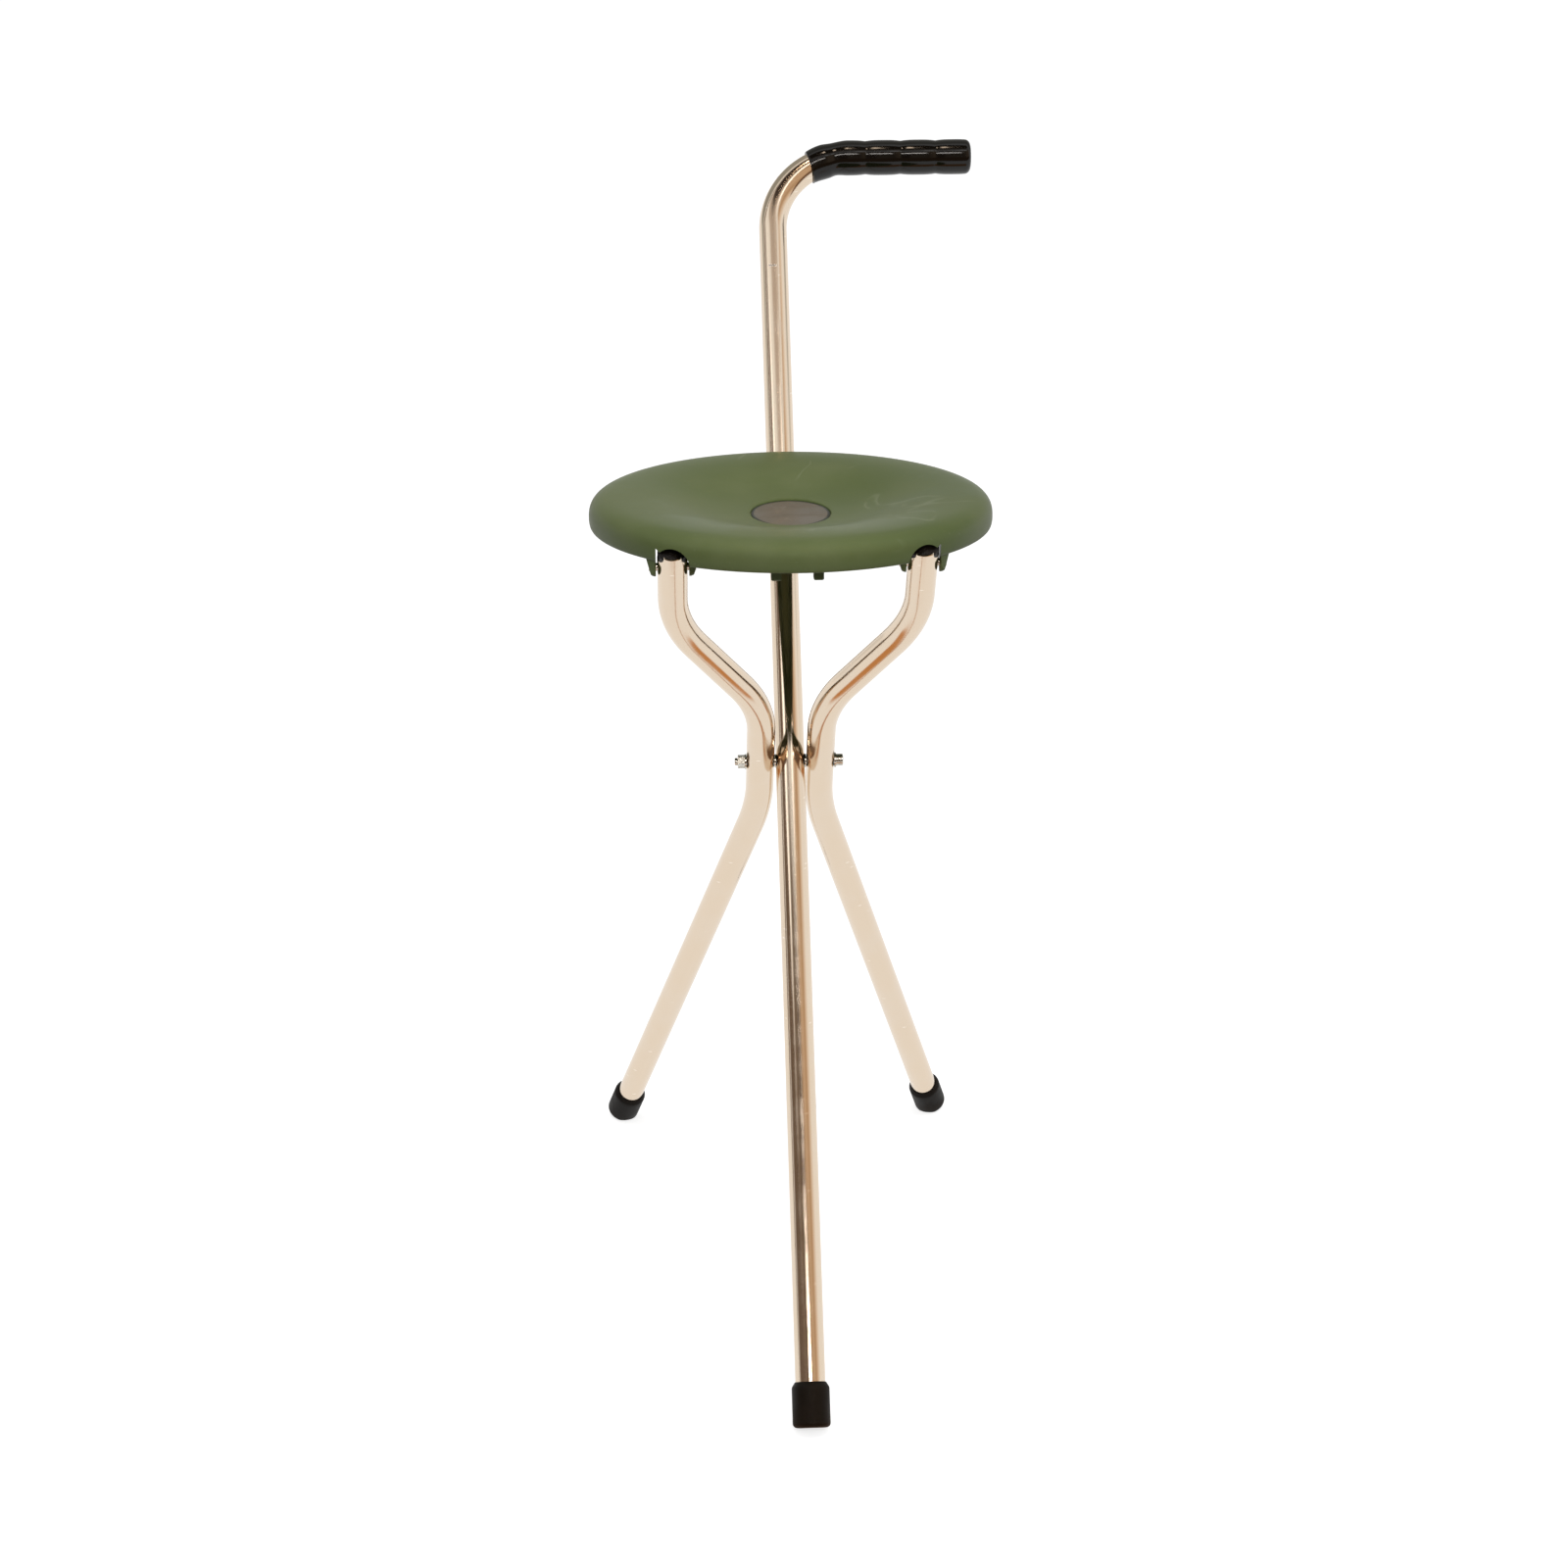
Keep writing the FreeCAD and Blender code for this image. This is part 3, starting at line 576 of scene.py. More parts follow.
def make_grip(material):
    """Moulded grip: a bent sleeve that starts on a slanted mouth, with finger swells.

    In the bend a point lies at the bend's centre plus (bend radius plus the section's
    cosine) along the arm at that angle. The mouth plane gives the first angle of each
    column: the arccosine of its distance over that arm, less the plane's slope.
    """
    slope = math.radians(GRIP_MOUTH_SLOPE)
    plane = np.array([math.cos(slope), math.sin(slope)])
    bend_centre = np.array([HANDLE_BEND, -HANDLE_BEND])
    distance = -plane @ (GRIP_MOUTH - bend_centre)
    columns = even_angles(TUBE_COLUMNS)
    straight_length = HANDLE_END - HANDLE_BEND

    def bend_start(radius, inset):
        arm = HANDLE_BEND + radius * np.cos(columns)
        return np.arccos(distance / arm) - slope + inset / HANDLE_BEND

    def in_bend(angle, radius):
        arm = HANDLE_BEND + radius * np.cos(columns)
        x = bend_centre[0] - arm * np.cos(angle)
        z = bend_centre[1] + arm * np.sin(angle) + HANDLE_HEIGHT
        y = radius * np.sin(columns) + 0 * angle
        return np.stack(np.broadcast_arrays(x, y, z), axis=-1)

    def along(length, radius):
        x = HANDLE_BEND + length + 0 * columns
        z = HANDLE_HEIGHT + radius * np.cos(columns)
        return np.stack(np.broadcast_arrays(x, radius * np.sin(columns), z), axis=-1)

    share = np.linspace(0, 1, GRIP_BEND_ROWS)[:, None]
    lip = 0.0008
    start = bend_start(GRIP_MOUTH_RADIUS, lip)
    angles = start + (math.pi / 2 - start) * share
    outer_bend = in_bend(angles, grip_radius_at((angles - math.pi / 2) * HANDLE_BEND))
    length = np.linspace(0, straight_length - GRIP_END_ROUNDING, GRIP_ROWS)[1:, None]
    outer_run = along(length, grip_radius_at(length))
    corner = np.array(arc_points((0, 0), (1, 1), (6, 90), 9))[:, :, None]
    end_radius = grip_radius_at(straight_length - GRIP_END_ROUNDING) - GRIP_END_ROUNDING
    end_start = straight_length - GRIP_END_ROUNDING
    end = along(end_start + GRIP_END_ROUNDING * corner[:, 1], end_radius + GRIP_END_ROUNDING * corner[:, 0])
    flat = along(np.array([[straight_length]]), np.array([[end_radius * 0.5]]))

    bore = STICK_RADIUS + 0.00005
    bore_start = bend_start(bore, 0)
    bore_length = np.linspace(straight_length - GRIP_CAP, 0, 4)[:, None]
    bore_run = along(bore_length, bore + 0 * bore_length)
    bore_angles = math.pi / 2 + (bore_start - math.pi / 2) * np.linspace(0, 1, 16)[1:, None]
    bore_bend = in_bend(bore_angles, bore)
    edge = GRIP_MOUTH_RADIUS
    mouth = in_bend(bend_start(edge - lip, 0), edge - lip)
    mouth_round = in_bend(bend_start(edge - lip / 4, lip / 4), edge - lip / 4)
    rows = [bore_run, bore_bend, mouth, mouth_round, outer_bend, outer_run, end, flat]
    points = stick_leaned(np.concatenate(rows))
    piece = surface("grip", points, poles=(True, True), sharp_degrees=60)
    return finish_piece(piece, "main_stick", "grip", material, "handle_grip")


def dish_height(radius, drop=0.0):
    """Height of the seat's top at a radius: flat, then two tangent arcs up to the level crown."""
    run = SEAT_CROWN - SEAT_FLAT
    turn = 2 * math.atan(SEAT_DISH / run)
    dish_curve = run / math.sin(turn) - SEAT_CROWN_CURVE
    out = np.maximum(radius - SEAT_FLAT, 0)
    low = SEAT_TOP - SEAT_DISH + dish_curve - np.sqrt(np.clip(dish_curve ** 2 - out ** 2, 0, None))
    from_crown = SEAT_CROWN - radius
    high = SEAT_TOP - SEAT_CROWN_CURVE + np.sqrt(np.clip(SEAT_CROWN_CURVE ** 2 - from_crown ** 2, 0, None))
    return np.where(out < dish_curve * math.sin(turn), low, high) - drop


def oval_rings(widths, lengths, heights):
    """Rows of ovals about the seat's centre: x is half the width times cosine, y half the length times sine.

    A height that isn't above zero is a depth below the dish.
    """
    angle = even_angles(SEAT_COLUMNS)
    rows = []
    for width, length, height in zip(widths, lengths, heights):
        x = width / 2 * np.cos(angle)
        y = length / 2 * np.sin(angle)
        z = height + 0 * x if height > 0 else dish_height(np.hypot(x, y)) + height
        rows.append(np.stack([x, y, z], axis=-1))
    return np.concatenate(rows)


def round_rings(profile, turn=0.0):
    """Rows of circles about the seat's centre from (radius, height) pairs, turned by a share of a column."""
    angle = even_angles(SEAT_COLUMNS) + turn * 2 * math.pi / SEAT_COLUMNS
    radius, height = np.array(profile).T[:, :, None]
    return np.stack(np.broadcast_arrays(radius * np.cos(angle), radius * np.sin(angle), height), axis=-1)


def seat_surface():
    """The moulded seat without its details: well, dish, crown, rim, edge and the hollow under it."""
    well_floor = SEAT_TOP - SEAT_DISH - BADGE_RECESS
    lip = 0.0005
    share = np.linspace(0, 1, 14)[1:]
    widths = [BADGE_WIDTH * 0.5, BADGE_WIDTH, BADGE_WIDTH, BADGE_WIDTH + lip, BADGE_WIDTH + 4 * lip]
    lengths = [BADGE_LENGTH * 0.5, BADGE_LENGTH, BADGE_LENGTH, BADGE_LENGTH + lip, BADGE_LENGTH + 4 * lip]
    heights = [well_floor, well_floor, -lip, -lip / 3, 0]
    morph_end = 0.120
    widths += list(widths[-1] + (morph_end - widths[-1]) * share)
    lengths += list(lengths[-1] + (morph_end - lengths[-1]) * share)
    top = oval_rings(widths, lengths, heights + [0] * len(share))

    dish = np.linspace(morph_end / 2, SEAT_CROWN, 20)[1:]
    outer = [(r, float(dish_height(r))) for r in dish]
    rim_size = (SEAT_RADIUS - SEAT_CROWN, SEAT_TOP - SEAT_EQUATOR)
    outer += fuller_arc((SEAT_CROWN, SEAT_EQUATOR), rim_size, 33)[1:]
    edge_radius = SEAT_RADIUS - EDGE_TUCK
    tuck_size = (EDGE_TUCK, SEAT_EQUATOR - SEAT_EDGE)
    outer += arc_points((edge_radius, SEAT_EQUATOR), tuck_size, (0, -90), 9)[1:]
    inner_radius = edge_radius - EDGE_WIDTH
    outer += [(inner_radius + 0.0004, SEAT_EDGE), (inner_radius, SEAT_EDGE + 0.0004)]
    inner_size = (inner_radius - SEAT_CROWN, SEAT_TOP - SEAT_WALL - SEAT_EQUATOR)
    outer += fuller_arc((SEAT_CROWN, SEAT_EQUATOR), inner_size, 21)[::-1]
    outer += [(r, float(dish_height(r, SEAT_WALL))) for r in np.linspace(SEAT_CROWN, 0.002, 16)[1:]]
    points = np.concatenate([top, round_rings(outer)]) + SEAT_CENTRE
    return surface("seat", points, poles=(True, True), sharp_degrees=45)


def block(name, low, high, lean=None):
    """Closed box between two corners."""
    corners = np.array([[low[0], low[1]], [high[0], low[1]], [high[0], high[1]], [low[0], high[1]]])
    levels = np.array([low[2], high[2]])
    flat = np.broadcast_to(corners[None], (2, 4, 2))
    height = np.broadcast_to(levels[:, None, None], (2, 4, 1))
    points = np.concatenate([flat, height], axis=-1)
    return surface(name, lean(points) if lean else points, poles=(True, True))


def bar(name, start, end, radius, columns=48, lean=None):
    """Closed round bar between two points."""
    start, end = np.array(start, float), np.array(end, float)
    length = np.linalg.norm(end - start)
    direction = (end - start) / length
    points = turned_about(start, direction, [(radius, 0), (radius, length)], columns)
    return surface(name, lean(points) if lean else points, poles=(True, True))


def wall_ring(name, radius):
    """Closed ring rib about the seat's centre."""
    half = RIB_THICKNESS / 2
    top = SEAT_TOP
    outside, inside = radius + half, radius - half
    profile = [(outside, RIB_BOTTOM), (outside, top), (inside, top), (inside, RIB_BOTTOM)]
    return surface(name, round_rings(profile, 0.5) + SEAT_CENTRE, closed_rows=True)


def spoke(step):
    """Closed straight rib from the inner ring to the rim."""
    half = RIB_THICKNESS / 2
    low = (RIB_RINGS[0], -half, RIB_BOTTOM)
    high = (SEAT_RADIUS, half, SEAT_TOP)
    angle = 2 * math.pi * (step + 0.5) / RIB_COUNT
    sine, cosine = math.sin(angle), math.cos(angle)

    def swung(points):
        x, y, z = np.moveaxis(points, -1, 0)
        return np.stack([x * cosine - y * sine, x * sine + y * cosine, z], axis=-1) + SEAT_CENTRE

    return block("spoke", low, high, swung)


def ear(side, face):
    """Ear of a hinge: rounded bars' sections that widen and thicken from the tip to the seat.

    Each level is an oval with flat sides, x and y being half the size times the cosine
    and sine raised to two over the squareness. Near the tip the half width follows the
    circle about the pin.
    """
    above_tip = EAR_TIP + np.linspace(0, 1, 10)[1:] * EAR_RISE
    level = np.concatenate([np.linspace(0, 1, 12) ** 2 * EAR_TIP, above_tip])
    tip_round = np.sqrt(np.clip(EAR_TIP ** 2 - (EAR_TIP - np.minimum(level, EAR_TIP)) ** 2, 0, None))
    rise = np.clip((level - EAR_TIP) / EAR_RISE, 0, 1)
    half_width = np.where(level < EAR_TIP, tip_round, EAR_TIP + (EAR_ROOT_WIDTH / 2 - EAR_TIP) * rise)
    share = level / level[-1]
    thickness = EAR_TIP_THICKNESS + (EAR_ROOT_THICKNESS - EAR_TIP_THICKNESS) * share
    thickness *= np.minimum(1, 0.35 + level / 0.0022)
    angle = even_angles(64)
    squareness = 5
    c, s = np.cos(angle), np.sin(angle)
    flat_x = np.sign(c) * np.abs(c) ** (2 / squareness)
    flat_y = np.sign(s) * np.abs(s) ** (2 / squareness)
    thickness, half_width = thickness[:, None], np.maximum(half_width, 0.0006)[:, None]
    face_x = LEG_TOP_X + face * (LEG_RADIUS + HINGE_GAP)
    x = side * (face_x + face * thickness / 2 + flat_x * thickness / 2)
    y = hinge[1] + flat_y * half_width
    z = hinge[2] - EAR_TIP + level[:, None] + 0 * x
    return surface("ear", np.stack([x, y, z], axis=-1), poles=(True, True))


def fork_post(side):
    """Post of the clip fork, with a chamfered tip."""
    inner = STICK_RADIUS + CLEARANCE
    centre = np.array([side * (inner + FORK_WIDTH / 2), FORK_Y])
    half = np.array([FORK_WIDTH, FORK_DEPTH]) / 2
    corners = np.array([[-1, -1], [1, -1], [1, 1], [-1, 1]])
    levels = [(FORK_TIP, 0.0008), (FORK_TIP + 0.0008, 0), (SEAT_TOP, 0)]
    rows = [np.column_stack([centre + corners * (half - inset), np.full(4, z)]) for z, inset in levels]
    return surface("post", np.array(rows), poles=(True, True))


def hook_cheek(side):
    """Cheek at the back that hooks over the stop pin."""
    reach = STOP_REACH
    outline = np.array([
        (-CHEEK_FRONT, reach),
        (-2 * CHEEK_FRONT, reach + 3 * CHEEK_FRONT),
        (CHEEK_BACK, reach + 3 * CHEEK_FRONT),
        (CHEEK_BACK, reach - CHEEK_DROP),
        (CHEEK_DROP - CHEEK_FRONT, reach - CHEEK_DROP),
    ])
    inside = np.column_stack([np.full(len(outline), side * CHEEK_INNER), outline])
    outside = np.column_stack([np.full(len(outline), side * (CHEEK_INNER + CHEEK_THICKNESS)), outline])
    return surface("cheek", stick_leaned(np.array([inside, outside])), poles=(True, True))


def saddle():
    """Block between the cheeks that bears on the stick. It is level below, just inside the seat's edge."""
    half = CHEEK_INNER + CHEEK_THICKNESS
    top = STOP_REACH + SADDLE_RISE
    back_foot = (SEAT_EDGE + 0.0002) / math.cos(math.radians(LEAN))
    front_foot = back_foot - SADDLE_DEPTH * math.tan(math.radians(LEAN))
    outline = np.array([(-SADDLE_DEPTH, front_foot), (-SADDLE_DEPTH, top), (0, top), (0, back_foot)])
    rows = [np.column_stack([np.full(len(outline), x), outline]) for x in (-half, half)]
    return surface("saddle", stick_leaned(np.array(rows)), poles=(True, True))


def arch_cutter(side):
    """Closed block that opens the rim over a leg: straight sides, under half an oval."""
    half = LEG_RADIUS + HINGE_GAP
    front = SEAT_CENTRE[1] - SEAT_RADIUS - ARCH_HEIGHT
    bottom = SEAT_EDGE - 2 * ARCH_HEIGHT
    outline = arc_points((0, SEAT_EDGE), (half, ARCH_HEIGHT), (180, 0), 41)
    outline = np.array(outline + [(half, bottom), (-half, bottom)])
    x = side * (LEG_TOP_X + outline[:, 0])
    rows = [np.column_stack([x, np.full(len(x), y), outline[:, 1]]) for y in (front, hinge[1])]
    return surface("arch", np.array(rows), poles=(True, True))


def seat_details():
    """Closed pieces that are one with the seat, and the closed pieces that cut it."""
    added = [wall_ring("ring", radius) for radius in RIB_RINGS]
    added += [spoke(step) for step in range(RIB_COUNT)]
    cuts = []
    for side in (-1, 1):
        added += [ear(side, face) for face in (-1, 1)]
        added += [fork_post(side), hook_cheek(side)]
        cuts.append(arch_cutter(side))
        half = LEG_RADIUS + HINGE_GAP
        for room, radius in ((half, PLUG_SWEEP), (TONGUE_WIDTH / 2 + CLEARANCE, TONGUE_SWEEP)):
            ends = [side * (LEG_TOP_X + room * k) for k in (-1, 1)]
            cuts.append(bar("room", (ends[0], *hinge[1:]), (ends[1], *hinge[1:]), radius, 96))
        reach = half + EAR_ROOT_THICKNESS + CLEARANCE
        ends = [side * (LEG_TOP_X + reach * k) for k in (-1, 1)]
        hole_radius = PIN_RADIUS + 0.0001
        cuts.append(bar("pin_hole", (ends[0], *hinge[1:]), (ends[1], *hinge[1:]), hole_radius))
    added.append(saddle())
    stick_way = ((0, 0, STOP_REACH - 0.03), (0, 0, STOP_REACH + 0.06))
    cuts.append(bar("stick_way", *stick_way, STICK_RADIUS + CLEARANCE, 96, stick_leaned))
    slot_radius = STOP_RADIUS + CLEARANCE
    slot_ends = ((-2 * CHEEK_INNER, 0, STOP_REACH), (2 * CHEEK_INNER, 0, STOP_REACH))
    cuts.append(bar("slot", *slot_ends, slot_radius, 48, stick_leaned))
    way_low = (-2 * CHEEK_INNER, -slot_radius, STOP_REACH - 0.02)
    cuts.append(block("way_out", way_low, (2 * CHEEK_INNER, 0.02, STOP_REACH), stick_leaned))
    return added, cuts


def seat_outline():
    """Closed shape that details are trimmed to: from half way through the seat's wall down past its ears."""
    skin = SEAT_WALL / 2
    rim_size = (SEAT_RADIUS - SEAT_CROWN - skin, SEAT_TOP - SEAT_EQUATOR - skin)
    profile = [(r, float(dish_height(r, skin))) for r in np.linspace(0.004, SEAT_CROWN, 16)]
    profile += fuller_arc((SEAT_CROWN, SEAT_EQUATOR), rim_size, 21)[1:]
    edge = SEAT_RADIUS - EDGE_TUCK - skin / 2
    profile += [(edge, SEAT_EDGE), (edge, OUTLINE_BOTTOM)]
    return surface("outline", round_rings(profile, 0.3) + SEAT_CENTRE, poles=(True, True))


def group_boolean(piece, others, operation):
    """Join a piece with, or cut it by, a whole set of closed pieces at once, and drop them."""
    group = bpy.data.collections.new("others")
    for other in others:
        bpy.context.scene.collection.objects.unlink(other)
        group.objects.link(other)
    step = piece.modifiers.new(operation.lower(), "BOOLEAN")
    step.operation = operation
    step.solver = "EXACT"
    step.operand_type = "COLLECTION"
    step.collection = group
    bpy.context.view_layer.update()
    worked = piece.evaluated_get(bpy.context.evaluated_depsgraph_get())
    mesh = bpy.data.meshes.new_from_object(worked)
    piece.modifiers.clear()
    piece.data = mesh
    for other in others:
        bpy.data.objects.remove(other)
    bpy.data.collections.remove(group)


def make_seat(material):
    """Moulded seat with its ears, ribs, clip fork and back hook, as one closed shell."""
    seat = seat_surface()
    added, cuts = seat_details()
    details = added.pop()
    group_boolean(details, added, "UNION")
    boolean(details, seat_outline(), "INTERSECT")
    boolean(seat, details, "UNION")
    group_boolean(seat, cuts, "DIFFERENCE")
    outward(seat)
    shade(seat, 40)
    return finish_piece(seat, "seat", "seat_plastic", material, "seat_shell")


def make_badge(material):
    """Blank oval plate with a softly rounded edge, in its well."""
    floor = SEAT_TOP - SEAT_DISH - BADGE_RECESS
    margin = 2 * 2 * CLEARANCE
    top = floor + BADGE_THICKNESS
    rows = [(0.4, 0, floor), (1, 0, floor), (1, 0, top - 0.0003), (1, 0.0003, top - 0.0001), (1, 0.0008, top)]
    rows += [(0.9, 0, top), (0.5, 0, top)]
    widths = [(BADGE_WIDTH - margin) * share - inset for share, inset, _ in rows]
    lengths = [(BADGE_LENGTH - margin) * share - inset for share, inset, _ in rows]
    points = oval_rings(widths, lengths, [row[2] for row in rows]) + SEAT_CENTRE
    piece = surface("badge", points, poles=(True, True))
    return finish_piece(piece, "seat", "badge_plate", material, "seat_badge")


def linear(red, green, blue):
    """A colour as it looks on a screen, from 0 to 255, as the light values that a shader takes."""
    screen = np.array([red, green, blue]) / 255
    return tuple(np.where(screen < 0.04045, screen / 12.92, ((screen + 0.055) / 1.055) ** 2.4)) + (1.0,)


class Graph:
    """Short words for building a node tree."""

    def __init__(self, tree):
        self.tree = tree

    def put(self, socket, value):
        """Link an output to a socket, or set the socket's own value."""
        if isinstance(value, bpy.types.NodeSocket):
            self.tree.links.new(value, socket)
        else:
            socket.default_value = value

    def node(self, kind, settings=None, **values):
        made = self.tree.nodes.new("ShaderNode" + kind)
        for key, value in (settings or {}).items():
            setattr(made, key, value)
        for key, value in values.items():
            self.put(made.inputs[key.replace("_", " ")], value)
        return made

    def group(self, name, **values):
        return self.node("Group", {"node_tree": shared_group(name)}, **values).outputs

    def math(self, operation, first, second):
        made = self.node("Math", {"operation": operation})
        self.put(made.inputs[0], first)
        self.put(made.inputs[1], second)
        return made.outputs[0]

    def times(self, first, second):
        return self.math("MULTIPLY", first, second)

    def plus(self, first, second):
        return self.math("ADD", first, second)

    def mix(self, share, first, second):
        made = self.node("Mix", {"data_type": "RGBA"}, Factor=share)
        self.put(made.inputs[6], first)
        self.put(made.inputs[7], second)
        return made.outputs[2]

    def span(self, value, low, high, start=0.0, end=1.0):
        """Map a stretch of values onto another, eased at its ends."""
        settings = {"interpolation_type": "SMOOTHSTEP"}
        ends = {"From_Min": low, "From_Max": high, "To_Min": start, "To_Max": end}
        made = self.node("MapRange", settings, Value=value, **ends)
        return made.outputs["Result"]

    def fall(self, value, low, high):
        """One below a stretch, nought above it."""
        return self.span(value, low, high, 1.0, 0.0)

    def near(self, value, middle, inner, outer):
        """One near a middle value, nought beyond the outer distance from it."""
        away = self.math("ABSOLUTE", self.math("SUBTRACT", value, middle), 0.0)
        return self.fall(away, inner, outer)

    def band(self, value, start, end, soft):
        """One between two values, with soft edges inside them."""
        return self.times(self.span(value, start, start + soft), self.fall(value, end - soft, end))

    def scaled(self, vector, scale, shift=(0, 0, 0)):
        return self.node("Mapping", Vector=vector, Scale=scale, Location=shift).outputs["Vector"]

    def noise(self, vector, scale, detail=3.0, roughness=0.55):
        values = {"Scale": scale, "Detail": detail, "Roughness": roughness}
        return self.node("TexNoise", Vector=vector, **values).outputs["Fac"]

    def dots(self, vector, scale, low, high):
        """Round spots at scattered points."""
        made = self.node("TexVoronoi", {"feature": "F1"}, Vector=vector, Scale=scale)
        return self.fall(made.outputs["Distance"], low, high)


def new_group(name, inputs, outputs):
    """Node group with inputs given as (name, kind, default) and outputs that are numbers."""
    tree = bpy.data.node_groups.new(name, "ShaderNodeTree")
    sockets = [("INPUT", *socket) for socket in inputs]
    sockets += [("OUTPUT", label, "Float", None) for label in outputs]
    for direction, label, kind, default in sockets:
        socket = tree.interface.new_socket(label, in_out=direction, socket_type="NodeSocket" + kind)
        if default is not None:
            socket.default_value = default
    entry = tree.nodes.new("NodeGroupInput")
    leave = tree.nodes.new("NodeGroupOutput")
    return tree, Graph(tree), entry.outputs, leave.inputs


def new_material(name):
    """Material with a Principled shader, its graph and its object coordinates."""
    material = bpy.data.materials.new(name)
    material.use_nodes = True
    tree = material.node_tree
    tree.nodes.clear()
    graph = Graph(tree)
    shader = graph.node("BsdfPrincipled")
    output = graph.node("OutputMaterial")
    tree.links.new(shader.outputs[0], output.inputs["Surface"])
    return material, graph, shader.inputs, graph.node("TexCoord").outputs["Object"]


def wear_group(name):
    """Soft wear: large cloudy patches, thin curved rubs that cross them, and specks."""
    inputs = [("Vector", "Vector", None), ("Patch Size", "Float", 14.0), ("Rub Size", "Float", 9.0)]
    tree, graph, entry, leave = new_group(name, inputs, ("Patches", "Rubs", "Specks"))
    place = entry["Vector"]
    cloud = graph.node("TexNoise", Vector=place, Scale=entry["Patch Size"], Detail=4.0, Roughness=0.6)
    graph.put(leave["Patches"], graph.span(cloud.outputs["Fac"], 0.42, 0.66))
    bend = graph.node("TexNoise", Vector=place, Scale=entry["Rub Size"], Detail=2.0, Distortion=1.4)
    thin = graph.near(bend.outputs["Fac"], 0.5, 0.0, 0.016)
    broken = graph.span(graph.noise(place, 34.0, 2.0), 0.52, 0.66)
    graph.put(leave["Rubs"], graph.times(thin, broken))
    graph.put(leave["Specks"], graph.dots(place, 95.0, 0.04, 0.11))
    return tree


def grain_group(name):
    """Fine moulded grain, as a height."""
    inputs = [("Vector", "Vector", None), ("Grain Size", "Float", 1600.0)]
    tree, graph, entry, leave = new_group(name, inputs, ("Height",))
    place = entry["Vector"]
    fine = graph.node("TexNoise", Vector=place, Scale=entry["Grain Size"], Detail=2.0, Roughness=0.5)
    broad = graph.node("TexNoise", Vector=place, Scale=260.0, Detail=2.0)
    graph.put(leave["Height"], graph.plus(fine.outputs["Fac"], graph.times(broad.outputs["Fac"], 0.6)))
    return tree


def drawn_group(name):
    """Lines that drawing leaves along a tube, and dull and bright places in its finish."""
    inputs = [("Along", "Vector", None), ("Vector", "Vector", None)]
    tree, graph, entry, leave = new_group(name, inputs, ("Lines", "Haze", "Nicks"))
    along = entry["Along"]
    fine = graph.noise(graph.scaled(along, (5200.0, 9.0, 1.0)), 1.0, 3.0, 0.6)
    broad = graph.noise(graph.scaled(along, (700.0, 3.0, 1.0)), 1.0, 2.0)
    graph.put(leave["Lines"], graph.plus(graph.times(fine, 0.5), graph.times(broad, 0.5)))
    graph.put(leave["Haze"], graph.span(graph.noise(entry["Vector"], 46.0, 3.0), 0.40, 0.72))
    graph.put(leave["Nicks"], graph.dots(graph.scaled(along, (240.0, 900.0, 1.0)), 0.22, 0.05, 0.10))
    return tree


def shared_group(name):
    """An effect that several finishes use, built once."""
    makers = {"soft wear": wear_group, "moulded grain": grain_group, "drawn tube": drawn_group}
    return bpy.data.node_groups.get(name) or makers[name](name)


def bumped(graph, height, distance, strength):
    return graph.node("Bump", Height=height, Distance=distance, Strength=strength).outputs["Normal"]


def tube_finish(colour):
    """Bright drawn aluminium with a champagne tint, and a light rub across the stick."""
    material, graph, shader, place = new_material("champagne_aluminium")
    along = graph.node("UVMap", {"uv_map": "along"}).outputs["UV"]
    drawn = graph.group("drawn tube", Along=along, Vector=place)
    tint = graph.mix(graph.times(drawn["Lines"], 0.30), colour, linear(216, 196, 172))
    tint = graph.mix(graph.times(drawn["Haze"], 0.12), tint, linear(240, 230, 218))
    tint = graph.mix(graph.times(drawn["Nicks"], 0.6), tint, linear(250, 240, 225))
    places = graph.node("SeparateXYZ", Vector=along).outputs
    mark = graph.near(places["Y"], MARK_HEIGHT, 0.0004, 0.0009)
    mark = graph.times(mark, graph.band(places["X"], *MARK_ROUND, 0.001))
    graph.put(shader["Base Color"], graph.mix(mark, tint, linear(250, 244, 236)))
    shader["Metallic"].default_value = 1.0
    rough = graph.plus(graph.times(drawn["Lines"], 0.08), 0.07)
    rough = graph.plus(rough, graph.times(drawn["Haze"], 0.07))
    graph.put(shader["Roughness"], graph.plus(rough, graph.times(mark, 0.5)))
    graph.put(shader["Normal"], bumped(graph, drawn["Lines"], 0.00004, 0.5))
    return material


def worn_finish(name, colour, wear_sizes, layers, roughness, grain, specular=None, rub_depth=0.0):
    """Moulded finish: a colour under layers of wear, rougher in patches, with a fine grain.

    The colour, and a layer's share, may be a function that builds it. A layer is (share,
    strength, colour). Roughness is (where plain, more in patches), and grain (size, depth,
    strength).
    """
    material, graph, shader, place = new_material(name)
    wear = graph.group("soft wear", Vector=place, Patch_Size=wear_sizes[0], Rub_Size=wear_sizes[1])
    base = colour(graph, place) if callable(colour) else colour
    for kind, strength, over in layers:
        share = kind(graph, place, wear) if callable(kind) else wear[kind]
        base = graph.mix(graph.times(share, strength), base, over)
    graph.put(shader["Base Color"], base)
    graph.put(shader["Roughness"], graph.plus(graph.times(wear["Patches"], roughness[1]), roughness[0]))
    if specular is not None:
        shader["Specular IOR Level"].default_value = specular
    height = graph.group("moulded grain", Vector=place, Grain_Size=grain[0])["Height"]
    if rub_depth:
        height = graph.plus(height, graph.times(wear["Rubs"], rub_depth))
    graph.put(shader["Normal"], bumped(graph, height, *grain[1:]))
    return material


